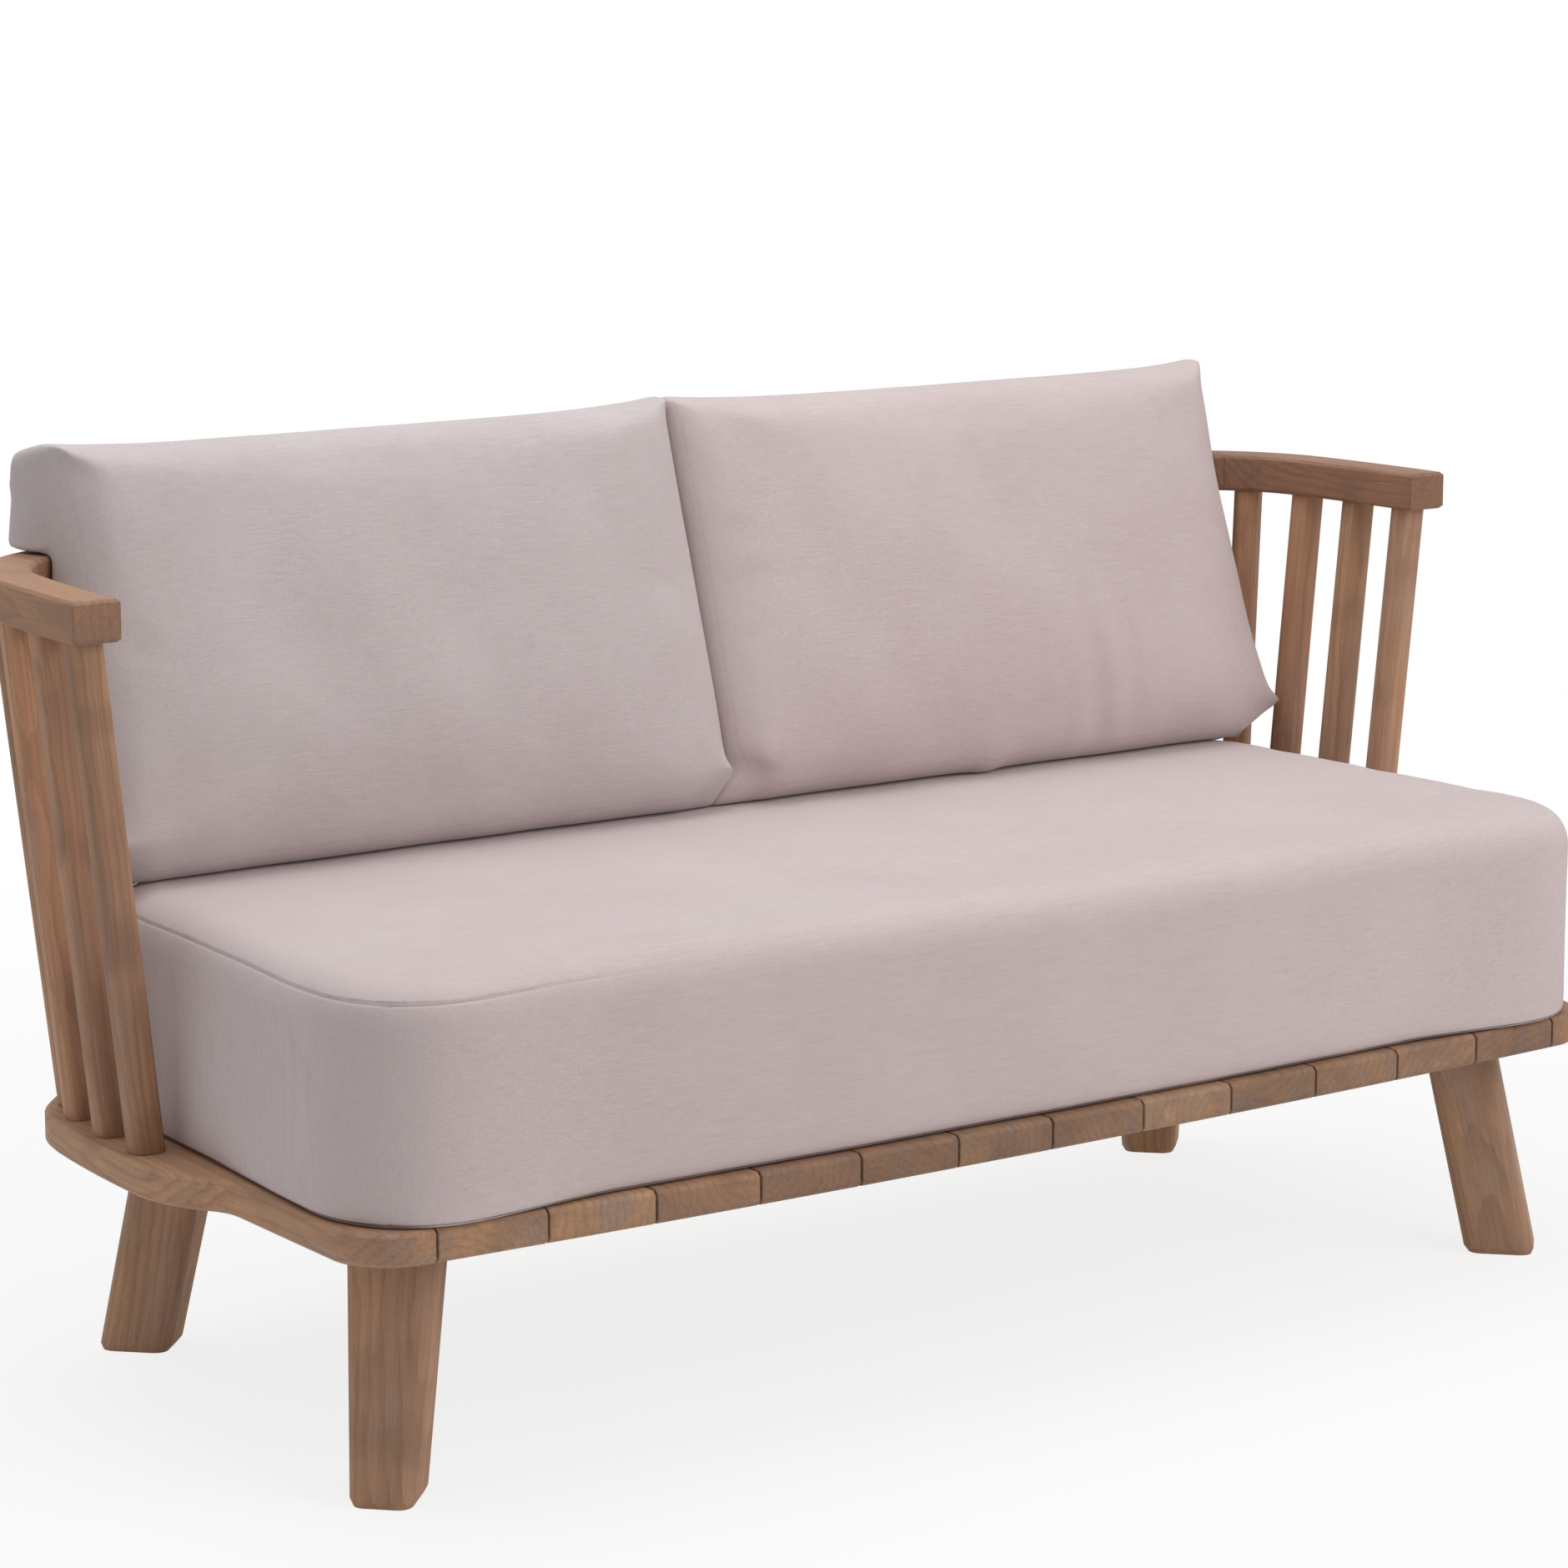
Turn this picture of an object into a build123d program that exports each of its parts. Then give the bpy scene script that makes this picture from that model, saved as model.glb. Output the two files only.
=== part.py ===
from build123d import *
import os
from math import asin, cos, degrees, radians, sin

# Two-seat slatted garden sofa in solid wood with loose cushions.
# Millimetres, +Z up, front towards -Y, origin on the ground below the middle of the sofa.
# Setbacks are measured backwards from the middle of the deck's front edge, and stand-offs
# forwards from the middle of the back rail's line. Side insets are measured inwards from the
# line of the arm rails' ends.

# Deck of boards laid front to back
leg_height = 222.0
deck_thickness = 30.0
slat_count = 12
slat_gap = 2.5
end_board_width = 69.5
back_board_width = 75.0
deck_side_inset = 58.5
deck_corner_radius = 60.0
deck_front_bow = 16.0
deck_shoulder_length = 114.0
shoulder_hollow_radius = 50.0
deck_rail_inset = 20.0
deck_edge_bevel = 4.0

# Top rail, a U of three pieces joined by slanting glue joints
arm_half_span = 770.0
arm_front = 349.0
arm_run = 169.0
arm_turn = 6.5
corner_radius = 163.0
back_turn = 3.0
rail_width = 46.0
rail_height = 38.0
rail_edge_bevel = 3.0
rail_joint_angle = 50.0

# Spindles between deck and rail
spindle_count = 28
spindle_height = 460.0
spindle_lean = 48.0
spindle_breadth = 27.0
spindle_depth = 32.0
spindle_corner_radius = 10.0
first_spindle_setback = 28.0
tenon_breadth = 13.0
tenon_depth = 18.0
deck_tenon_length = 18.0
rail_tenon_length = 20.0
tenon_clearance = 0.15
mortise_relief = 0.8

# Legs, set cornerwise and splayed
leg_top_width = 66.0
leg_foot_width = 58.0
leg_corner_radius = 14.0
leg_foot_bevel = 6.0
front_leg_side_inset = 153.0
front_leg_setback = 121.0
front_leg_splay = 38.0
rear_leg_side_inset = 187.0
rear_leg_stand_off = 116.0
rear_leg_splay = 33.0

# Bearers under the boards, thinned towards their ends
bearer_width = 62.0
bearer_thickness = 27.0
bearer_side_inset = 94.0
bearer_taper_length = 70.0
bearer_tip_thickness = 9.0
front_bearer_setback = 214.0
rear_bearer_stand_off = 208.0

# Screws up through the bearers, bolts down into the legs, drawn with six sides
fastener_sides = 6
screw_radius = 2.5
screw_head_radius = 5.0
screw_head_height = 3.0
screw_bite = 18.0
bolt_radius = 4.0
bolt_head_radius = 8.0
bolt_head_height = 5.0
bolt_bite = 62.0
bolt_spread = 16.0
fastener_clearance = 0.15

# Seat cushion
seat_thickness = 198.0
seat_rail_inset = 70.0
seat_corner_radius = 90.0
seat_setback = 3.0
seat_side_draw = 4.0
seat_crown_reach = 58.0
seat_edge_radius = 22.0
seat_foot_radius = 12.0
seat_crown = 9.0

# Back cushions
back_cushion_side_inset = 79.0
back_cushion_height = 414.0
back_cushion_boxing = 50.0
back_cushion_front_crown = 22.0
back_cushion_rear_crown = 12.0
back_cushion_corner_radius = 30.0
back_cushion_side_draw = 6.0
back_cushion_flat_half_height = 97.0
back_cushion_side_taper = 36.0
back_cushion_lean = 14.0
back_cushion_stand_off = 181.0
cushion_middle_gap = 10.0
cushion_clearance = 0.4

# Padded covers round foam blocks with square edges
seat_padding = 24.0
back_padding = 40.0
block_clearance = 0.4

# Tight round outlines are drawn in straight steps, and the outlines of the back cushions have
# their points at these shares of the way from the middle of a side to its corner
corner_steps = 5
side_steps = 6
side_shares = (0.7, 0.85, 1.0)

# Section profiles of the cushions: share of the rounding or crown, from the widest line inwards
rounding_inset_shares = (1.0, 0.42, 0.12, 0.0)
rounding_height_shares = (0.0, 0.38, 0.72, 1.0)
crown_inset_shares = (0.25, 0.55, 1.0)
crown_height_shares = (0.5, 0.82, 1.0)

# One overrun serves every cut that has to pass a face
overrun = 40.0

deck_top = leg_height + deck_thickness
rail_underside = deck_top + spindle_height
rail_top = rail_underside + rail_height
deck_half_width = arm_half_span - deck_side_inset
half_slats = deck_half_width - end_board_width
slat_pitch = 2 * half_slats / slat_count
bearer_half_length = arm_half_span - bearer_side_inset
back_cushion_crown_reach = back_cushion_height / 2 - back_cushion_flat_half_height
back_cushion_width = arm_half_span - back_cushion_side_inset - cushion_middle_gap / 2


def toward(angle):
    """Unit vector in plan at an angle in degrees."""
    return Vector(cos(radians(angle)), sin(radians(angle)))


# Centres and radii of the three arcs of half the rail, set out from the deck's front edge
arm_radius = arm_run / sin(radians(arm_turn))
arm_centre = Vector(arm_half_span - arm_radius, arm_front)
corner_centre = arm_centre + toward(arm_turn) * (arm_radius - corner_radius)
back_start = 90.0 - back_turn
back_radius = corner_radius + corner_centre.X / cos(radians(back_start))
back_centre = corner_centre + toward(back_start) * (corner_radius - back_radius)
back_line = back_centre.Y + back_radius
overall_depth = back_line + rail_width / 2
front_y = -overall_depth / 2
rear_bearer_setback = back_line - rear_bearer_stand_off


def rail_point(angle, offset):
    """Point of the rail's line at the angle that its outward normal has, moved outwards by offset."""
    if angle > 90:
        point = rail_point(180 - angle, offset)
        return Vector(-point.X, point.Y)
    if angle <= arm_turn:
        centre, radius = arm_centre, arm_radius
    elif angle <= back_start:
        centre, radius = corner_centre, corner_radius
    else:
        centre, radius = back_centre, back_radius
    return centre + toward(angle) * (radius + offset) + Vector(0, front_y)


def rail_angle(distance):
    """Normal angle at a distance along the rail's line from the right arm's end."""
    arm_length = arm_radius * radians(arm_turn)
    corner_length = corner_radius * radians(back_start - arm_turn)
    if distance <= arm_length:
        return degrees(distance / arm_radius)
    if distance <= arm_length + corner_length:
        return arm_turn + degrees((distance - arm_length) / corner_radius)
    return back_start + degrees((distance - arm_length - corner_length) / back_radius)


half_rail_length = (
    arm_radius * radians(arm_turn)
    + corner_radius * radians(back_start - arm_turn)
    + back_radius * radians(back_turn)
)


def rail_arcs(offset):
    """Edges of the rail's line from the right arm's end round to the left one."""
    stops = [0, arm_turn, back_start, 180 - back_start, 180 - arm_turn, 180]
    edges = []
    for start, end in zip(stops, stops[1:]):
        middle = (start + end) / 2
        edges.append(
            ThreePointArc(
                rail_point(start, offset), rail_point(middle, offset), rail_point(end, offset)
            )
        )
    return edges


def front_arcs(half_width, corner, setback):
    """Bowed front edge and both front corners, left to right, and the point where the side begins."""
    bow_reach = deck_half_width - deck_corner_radius
    bow_radius = (bow_reach**2 + deck_front_bow**2) / (2 * deck_front_bow) - setback
    centre_x = half_width - corner
    swing = degrees(asin(centre_x / (bow_radius - corner)))
    bow_centre = Vector(0, front_y + setback + bow_radius)
    centre = bow_centre + toward(swing - 90) * (bow_radius - corner)
    start = centre + toward(swing - 90) * corner
    middle = centre + toward((swing - 90) / 2) * corner
    side = centre + toward(0) * corner
    left_start, left_middle, left_side = (Vector(-p.X, p.Y) for p in (start, middle, side))
    return [
        ThreePointArc(left_side, left_middle, left_start),
        ThreePointArc(left_start, Vector(0, front_y + setback), start),
        ThreePointArc(start, middle, side),
    ], side


def shoulder_arcs(side_x):
    """The S from the narrow front part of the deck out to its wide rear part, on the right."""
    end = rail_point(0, -deck_rail_inset)
    start = Vector(side_x, end.Y - deck_shoulder_length)
    rise, step = end.Y - start.Y, end.X - start.X
    both_radii = (rise**2 + step**2) / (2 * step)
    turn = degrees(asin(rise / both_radii))
    hollow_centre = start + Vector(shoulder_hollow_radius, 0)
    swell_radius = both_radii - shoulder_hollow_radius
    swell_centre = end - Vector(swell_radius, 0)
    meeting = hollow_centre - toward(-turn) * shoulder_hollow_radius
    hollow_middle = hollow_centre - toward(-turn / 2) * shoulder_hollow_radius
    swell_middle = swell_centre + toward(-turn / 2) * swell_radius
    return start, [(start, hollow_middle, meeting), (meeting, swell_middle, end)]


def flipped(point):
    """The same point on the other side of the sofa."""
    return Vector(-point.X, point.Y)


def in_steps(arc, steps):
    """Straight steps from point to point along an arc."""
    points = [arc @ (step / steps) for step in range(steps + 1)]
    return [Line(start, end) for start, end in zip(points, points[1:])]


def stepped_wire(edges):
    """Closed wire of straight steps, more of them round a tight corner than along a long side."""
    lines = []
    for edge in edges:
        if edge.geom_type == GeomType.LINE:
            lines.append(edge)
        elif edge.radius < deck_thickness + seat_thickness:
            lines += in_steps(edge, corner_steps)
        else:
            lines += in_steps(edge, side_steps)
    return Wire(lines)


def deck_outline():
    """Closed outline of the whole deck in plan."""
    edges, side = front_arcs(deck_half_width, deck_corner_radius, 0)
    shoulder, arcs = shoulder_arcs(side.X)
    edges.append(Line(side, shoulder))
    edges += [ThreePointArc(*points) for points in arcs]
    edges += rail_arcs(-deck_rail_inset)
    edges += [ThreePointArc(*[flipped(p) for p in reversed(points)]) for points in reversed(arcs)]
    edges.append(Line(flipped(shoulder), flipped(side)))
    return Wire(edges)


def seat_outline(inset, height):
    """Closed outline of the seat cushion at one height, drawn in by inset."""
    edges, side = front_arcs(
        arm_half_span - seat_rail_inset - inset, seat_corner_radius - inset, seat_setback + inset
    )
    arm = rail_point(0, -seat_rail_inset - inset)
    edges.append(Line(side, arm))
    edges += rail_arcs(-seat_rail_inset - inset)
    edges.append(Line(flipped(arm), flipped(side)))
    return stepped_wire(edges).moved(Location((0, 0, height)))


def rod(start, end, radius):
    """Six-sided bar between two points, as wide across its corners as a round one of that radius."""
    length = (end - start).length
    plane = Plane(origin=start, z_dir=end - start)
    return extrude(plane * RegularPolygon(radius, fastener_sides), length)


def slab(low, high):
    """Block between two corners."""
    size = high - low
    return Pos(*((low + high) / 2)) * Box(size.X, size.Y, size.Z)


def spindle_line(index):
    """Foot, head and direction of one spindle's axis, and its turn in plan."""
    half_count = (spindle_count - 1) / 2
    pitch = (half_rail_length - first_spindle_setback) / half_count
    distance = first_spindle_setback + pitch * min(index, spindle_count - 1 - index)
    angle = rail_angle(distance)
    if index > half_count:
        angle = 180 - angle
    foot_xy = rail_point(angle, -spindle_lean)
    head_xy = rail_point(angle, 0)
    foot = Vector(foot_xy.X, foot_xy.Y, deck_top)
    head = Vector(head_xy.X, head_xy.Y, rail_underside)
    return foot, head, (head - foot).normalized(), angle


def softened(breadth, depth, radius):
    """Corner points of a rectangle whose corners are rounded in steps, round from the +X side."""
    points = []
    for quarter, (out_x, out_y) in enumerate(((1, 1), (-1, 1), (-1, -1), (1, -1))):
        centre = Vector(out_x * (breadth / 2 - radius), out_y * (depth / 2 - radius))
        turns = [90 * (quarter + step / corner_steps) for step in range(corner_steps + 1)]
        points += [centre + toward(turn) * radius for turn in turns]
    return points


def panelled(rings):
    """Solid of flat panels between rings whose sides run parallel, closed by its end rings."""
    panels = [Face(Wire.make_polygon(ring)) for ring in (rings[0], rings[-1])]
    for lower, upper in zip(rings, rings[1:]):
        following = zip(lower[1:] + lower[:1], upper[1:] + upper[:1])
        for low, high, (next_low, next_high) in zip(lower, upper, following):
            panels.append(Face(Wire.make_polygon([low, next_low, next_high, high])))
    return Solid(Shell(panels))


def along_spindle(index, section, start, end):
    """Bar of a section along a spindle's axis, from start below its foot to end above its head."""
    foot, head, up, angle = spindle_line(index)
    plane = Plane(origin=foot - up * start, x_dir=toward(angle + 90), z_dir=up)
    return extrude(plane * section, (head - foot).length + start + end)


def make_spindle(index):
    """Leaning spindle with level shoulders and a square tenon at each end."""
    corners = softened(spindle_breadth, spindle_depth, spindle_corner_radius)
    bar = along_spindle(index, make_face(Polyline(corners, close=True)), overrun, overrun)
    reach = Vector(arm_half_span, overall_depth) + Vector(overrun, overrun)
    body = bar & slab(
        Vector(-reach.X, -reach.Y, deck_top), Vector(reach.X, reach.Y, rail_underside)
    )
    tenons = Rectangle(tenon_breadth, tenon_depth)
    return body + along_spindle(index, tenons, deck_tenon_length, rail_tenon_length)


def mortises(index):
    """Bar that cuts both of a spindle's mortises, a little wider and deeper than its tenons."""
    section = Rectangle(tenon_breadth + 2 * tenon_clearance, tenon_depth + 2 * tenon_clearance)
    return along_spindle(
        index, section, deck_tenon_length + mortise_relief, rail_tenon_length + mortise_relief
    )


def leg_places():
    """Name, top centre and outward splay of each leg."""
    places = []
    rear_setback = back_line - rear_leg_stand_off
    for row, inset, setback, splay, out_y in (
        ("front", front_leg_side_inset, front_leg_setback, front_leg_splay, -1),
        ("rear", rear_leg_side_inset, rear_setback, rear_leg_splay, 1),
    ):
        for side, out_x in (("left", -1), ("right", 1)):
            top = Vector(out_x * (arm_half_span - inset), front_y + setback, leg_height)
            foot = Vector(top.X + out_x * splay, top.Y + out_y * splay, 0)
            places.append((f"leg_{row}_{side}", top, foot))
    return places


def leg_ring(centre, width, corner):
    """Level outline of a leg, its corners towards the front, back and sides."""
    return [centre + point.rotate(Axis.Z, 45) for point in softened(width, width, corner)]


def make_leg(top, foot):
    """Tapered, splayed leg with rounded corners, a bevelled foot and two bolt holes."""
    share = leg_foot_bevel / leg_height
    ankle = foot + (top - foot) * share
    ankle_width = leg_foot_width + (leg_top_width - leg_foot_width) * share
    rings = [
        leg_ring(foot, ankle_width - leg_foot_bevel, leg_corner_radius - leg_foot_bevel / 2),
        leg_ring(ankle, ankle_width, leg_corner_radius),
        leg_ring(top, leg_top_width, leg_corner_radius),
    ]
    leg = panelled(rings)
    for place in bolt_places(top, foot):
        leg -= rod(
            place - Vector(0, 0, bolt_bite + mortise_relief),
            place + Vector(0, 0, overrun),
            bolt_radius + fastener_clearance,
        )
    return leg


def bolt_places(top, foot):
    """Where the two bolts of a leg cross its top, side by side across the leg's splay."""
    splay = foot - top
    across = Vector(-splay.Y, splay.X).normalized()
    return [top + across * side * bolt_spread for side in (-1, 1)]


def make_bolt(place):
    """Bolt let flush into the deck, reaching down into the leg."""
    head_top = place + Vector(0, 0, deck_thickness)
    head_low = head_top - Vector(0, 0, bolt_head_height)
    return rod(head_low, head_top, bolt_head_radius) + rod(
        place - Vector(0, 0, bolt_bite), head_top, bolt_radius
    )


def bolt_cutter(place):
    """Stepped hole through the deck for one bolt."""
    head_low = place + Vector(0, 0, deck_thickness - bolt_head_height)
    above = place + Vector(0, 0, deck_thickness + overrun)
    return rod(head_low, above, bolt_head_radius + fastener_clearance) + rod(
        place - Vector(0, 0, overrun), above, bolt_radius + fastener_clearance
    )


def bearer_depth(x):
    """Thickness of a bearer at a distance from its middle."""
    from_tip = min(bearer_half_length - abs(x), bearer_taper_length)
    rise = (bearer_thickness - bearer_tip_thickness) * from_tip / bearer_taper_length
    return bearer_tip_thickness + rise


def make_bearer(setback):
    """Batten across the boards, its underside rising towards both ends."""
    flat_half = bearer_half_length - bearer_taper_length
    outline = Polyline(
        (-bearer_half_length, leg_height),
        (-bearer_half_length, leg_height - bearer_tip_thickness),
        (-flat_half, leg_height - bearer_thickness),
        (flat_half, leg_height - bearer_thickness),
        (bearer_half_length, leg_height - bearer_tip_thickness),
        (bearer_half_length, leg_height),
        close=True,
    )
    side = Plane(origin=(0, front_y + setback + bearer_width / 2, 0), x_dir=(1, 0, 0), z_dir=(0, -1, 0))
    bearer = extrude(side * make_face(outline), bearer_width)
    for place in screw_places(setback):
        bearer -= screw_shape(place, fastener_clearance, overrun)
    return bearer


def screw_places(setback):
    """Where the screws of one bearer meet the underside of the boards."""
    xs = [(i + 0.5) * slat_pitch - half_slats for i in range(slat_count)]
    board_middle = (half_slats + bearer_half_length) / 2
    return [Vector(x, front_y + setback, leg_height) for x in [-board_middle] + xs + [board_middle]]


def screw_shape(place, spare=0.0, below=0.0):
    """Countersunk screw, flush with the bearer's underside, with room round it if it is a cutter."""
    head_face = place - Vector(0, 0, bearer_depth(place.X))
    neck = head_face + Vector(0, 0, screw_head_height)
    tip = place + Vector(0, 0, screw_bite + spare)
    head = loft(
        [
            Pos(*head_face) * RegularPolygon(screw_head_radius + spare, fastener_sides),
            Pos(*neck) * RegularPolygon(screw_radius + spare, fastener_sides),
        ]
    )
    shape = head + rod(neck, tip, screw_radius + spare)
    if below:
        shape += rod(head_face - Vector(0, 0, below), head_face, screw_head_radius + spare)
    return shape


def bevelled_plate(outline, thickness, bevel):
    """Plate with the edges round its top and bottom bevelled."""
    plate = extrude(make_face(outline), thickness)
    levels = plate.faces().sort_by(Axis.Z)
    return chamfer(levels[0].edges() + levels[-1].edges(), bevel)


def make_boards():
    """All boards of the deck by name, cut from one shaped plate."""
    plate = Pos(0, 0, leg_height) * bevelled_plate(deck_outline(), deck_thickness, deck_edge_bevel)
    cutters = [mortises(i) for i in range(spindle_count)]
    for _, top, foot in leg_places():
        cutters += [bolt_cutter(place) for place in bolt_places(top, foot)]
    for setback in (front_bearer_setback, rear_bearer_setback):
        for place in screw_places(setback):
            tip = place + Vector(0, 0, screw_bite + mortise_relief)
            cutters.append(rod(place - Vector(0, 0, overrun), tip, screw_radius + fastener_clearance))
    plate -= cutters
    reach_x = arm_half_span + overrun
    reach_y = overall_depth
    low, high = leg_height - overrun, deck_top + overrun
    back_y = rail_point(90, -deck_rail_inset).Y - back_board_width
    half_gap = slat_gap / 2
    boards = {}
    for i in range(slat_count):
        left = i * slat_pitch - half_slats
        block = slab(
            Vector(left + half_gap, -reach_y, low),
            Vector(left + slat_pitch - half_gap, back_y - half_gap, high),
        )
        boards[f"deck_slat_{i + 1:02d}"] = plate & block
    boards["back_board"] = plate & slab(
        Vector(-half_slats + half_gap, back_y + half_gap, low),
        Vector(half_slats - half_gap, reach_y, high),
    )
    boards["end_board_left"] = plate & slab(
        Vector(-reach_x, -reach_y, low), Vector(-half_slats - half_gap, reach_y, high)
    )
    boards["end_board_right"] = plate & slab(
        Vector(half_slats + half_gap, -reach_y, low), Vector(reach_x, reach_y, high)
    )
    return boards


def make_rails():
    """The three pieces of the top rail, mortised for the spindles and cut at slanting joints."""
    half = rail_width / 2
    outer, inner = rail_arcs(half), rail_arcs(-half)
    ends = [
        Line(rail_point(180, half), rail_point(180, -half)),
        Line(rail_point(0, -half), rail_point(0, half)),
    ]
    outline = Wire(outer + inner + ends)
    bar = Pos(0, 0, rail_underside) * bevelled_plate(outline, rail_height, rail_edge_bevel)
    bar -= [mortises(i) for i in range(spindle_count)]
    joint_x = rail_point(rail_joint_angle, 0).X
    reach_x, reach_y = arm_half_span + overrun, overall_depth
    low, high = rail_underside - overrun, rail_top + overrun
    return {
        "arm_rail_right": bar & slab(Vector(joint_x, -reach_y, low), Vector(reach_x, reach_y, high)),
        "back_rail": bar & slab(Vector(-joint_x, -reach_y, low), Vector(joint_x, reach_y, high)),
        "arm_rail_left": bar & slab(Vector(-reach_x, -reach_y, low), Vector(-joint_x, reach_y, high)),
    }


def seat_sections():
    """Inset and height of each section of the seat cushion, from its foot to its crown."""
    low = deck_top + cushion_clearance
    seam = deck_top + seat_thickness - seat_crown
    foot, edge = seat_foot_radius, seat_edge_radius
    sections = [
        (foot * inset, low + foot * height)
        for inset, height in zip(rounding_inset_shares, rounding_height_shares)
    ]
    sections.append((seat_side_draw, (low + seam) / 2))
    sections += [
        (edge * inset, seam - edge * height)
        for inset, height in zip(reversed(rounding_inset_shares), reversed(rounding_height_shares))
    ]
    sections += [
        (edge + (seat_crown_reach - edge) * inset, seam + seat_crown * height)
        for inset, height in zip(crown_inset_shares, crown_height_shares)
    ]
    return sections


def seat_form():
    """Outer form of the seat cushion, rounded at its foot and top and crowned."""
    return Solid.make_loft([seat_outline(*section) for section in seat_sections()], ruled=True)


def seat_block(spare):
    """Foam block of the seat cushion, larger all round by spare."""
    low = deck_top + cushion_clearance + seat_padding - spare
    high = deck_top + seat_thickness - seat_crown - seat_padding + spare
    return extrude(make_face(seat_outline(seat_side_draw + seat_padding - spare, low)), high - low)


def drawn_in(share):
    """How far a side of a back cushion is drawn in, at a share of the way from middle to corner."""
    eased = (share - side_shares[0]) / (1 - side_shares[0])
    return back_cushion_side_draw * (1 - eased**2)


def pillow_quarter():
    """Outline points of the upper outer quarter of a back cushion, set out from its middle."""
    half_w, half_h = back_cushion_width / 2, back_cushion_height / 2
    radius = back_cushion_corner_radius
    centre = Vector(half_w - radius, half_h - radius)
    side = [Vector(half_w - drawn_in(share), centre.Y * share) for share in side_shares]
    turns = [90 * step / corner_steps for step in range(1, corner_steps)]
    corner = [centre + toward(turn) * radius for turn in turns]
    top = [Vector(centre.X * share, half_h - drawn_in(share)) for share in reversed(side_shares)]
    return side + corner + top


def pillow_outline(inset, outer_extra, height):
    """Outline of a back cushion in its own plane, its quarters moved inwards by inset."""
    points = []
    for out_x, out_y in ((1, 1), (-1, 1), (-1, -1), (1, -1)):
        quarter = pillow_quarter() if out_x == out_y else reversed(pillow_quarter())
        shift = inset + outer_extra if out_x > 0 else inset
        points += [Vector(out_x * (p.X - shift), out_y * (p.Y - inset), height) for p in quarter]
    return points


def pillow_form():
    """Back cushion lying on its back, its outer side to +X, crowned on both faces."""
    half_box = back_cushion_boxing / 2
    reach = back_cushion_crown_reach
    sections = []
    for inset, height in zip(reversed(crown_inset_shares), reversed(crown_height_shares)):
        crown = back_cushion_rear_crown * height
        sections.append((reach * inset, back_cushion_side_taper, -half_box - crown))
    sections.append((0, back_cushion_side_taper, -half_box))
    sections.append((0, 0, half_box))
    for inset, height in zip(crown_inset_shares, crown_height_shares):
        sections.append((reach * inset, 0, half_box + back_cushion_front_crown * height))
    return panelled([pillow_outline(*section) for section in sections])


def pillow_block(spare):
    """Foam block of a back cushion, as thick as its boxing, larger all round by spare."""
    half_box = back_cushion_boxing / 2 + spare
    inset = back_padding - spare
    sections = [(inset, back_cushion_side_taper, -half_box), (inset, 0, half_box)]
    return panelled([pillow_outline(*section) for section in sections])


def stand_pillow(form, side):
    """Stand a back cushion up on the seat, leaning back, on the left (-1) or the right (1)."""
    if side < 0:
        form = form.mirror(Plane.YZ)
    half_height = back_cushion_height / 2
    reach = back_cushion_boxing / 2
    up = Vector(0, sin(radians(back_cushion_lean)), cos(radians(back_cushion_lean)))
    front = Vector(0, -up.Z, up.Y)
    low_y = front_y + back_line - back_cushion_stand_off
    low = Vector(0, low_y, deck_top + seat_thickness + cushion_clearance)
    centre = low + up * half_height - front * reach + Vector(0, 0, 2 * reach * front.Z)
    centre += Vector(side * (back_cushion_width + cushion_middle_gap) / 2, 0)
    return Plane(origin=centre, x_dir=(1, 0, 0), z_dir=front) * form


def make_cushions():
    """Padded covers and foam blocks of the seat cushion and both back cushions."""
    parts = {
        "seat_cushion_cover": seat_form() - seat_block(block_clearance),
        "seat_cushion_core": seat_block(0),
    }
    cover = pillow_form() - pillow_block(block_clearance)
    for name, side in (("left", -1), ("right", 1)):
        parts[f"back_cushion_{name}_cover"] = stand_pillow(cover, side)
        parts[f"back_cushion_{name}_core"] = stand_pillow(pillow_block(0), side)
    return parts


def make_sofa():
    """Every piece of the sofa by name."""
    parts = make_boards()
    for i in range(spindle_count):
        parts[f"spindle_{i + 1:02d}"] = make_spindle(i)
    parts.update(make_rails())
    bolts = []
    for name, top, foot in leg_places():
        parts[name] = make_leg(top, foot)
        bolts += [make_bolt(place) for place in bolt_places(top, foot)]
    parts["leg_bolts"] = Compound(children=bolts)
    screws = []
    for name, setback in (("front", front_bearer_setback), ("rear", rear_bearer_setback)):
        parts[f"deck_bearer_{name}"] = make_bearer(setback)
        screws += [screw_shape(place) for place in screw_places(setback)]
    parts["board_screws"] = Compound(children=screws)
    parts.update(make_cushions())
    return parts


os.makedirs("parts", exist_ok=True)
for node, shape in make_sofa().items():
    export_step(shape, f"parts/{node}.step")
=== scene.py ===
"""Looks of a two-seat garden sofa: weathered teak frame, one seat cushion and two back cushions.

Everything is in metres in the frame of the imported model: +Z up, the front towards -Y.
"""

import logging
import math
from dataclasses import dataclass, field
from enum import Enum
from typing import Any, Self, Sequence

import bmesh
import bpy
import numpy as np
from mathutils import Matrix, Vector, noise
from mathutils.bvhtree import BVHTree
from mathutils.geometry import convex_hull_2d


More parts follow.
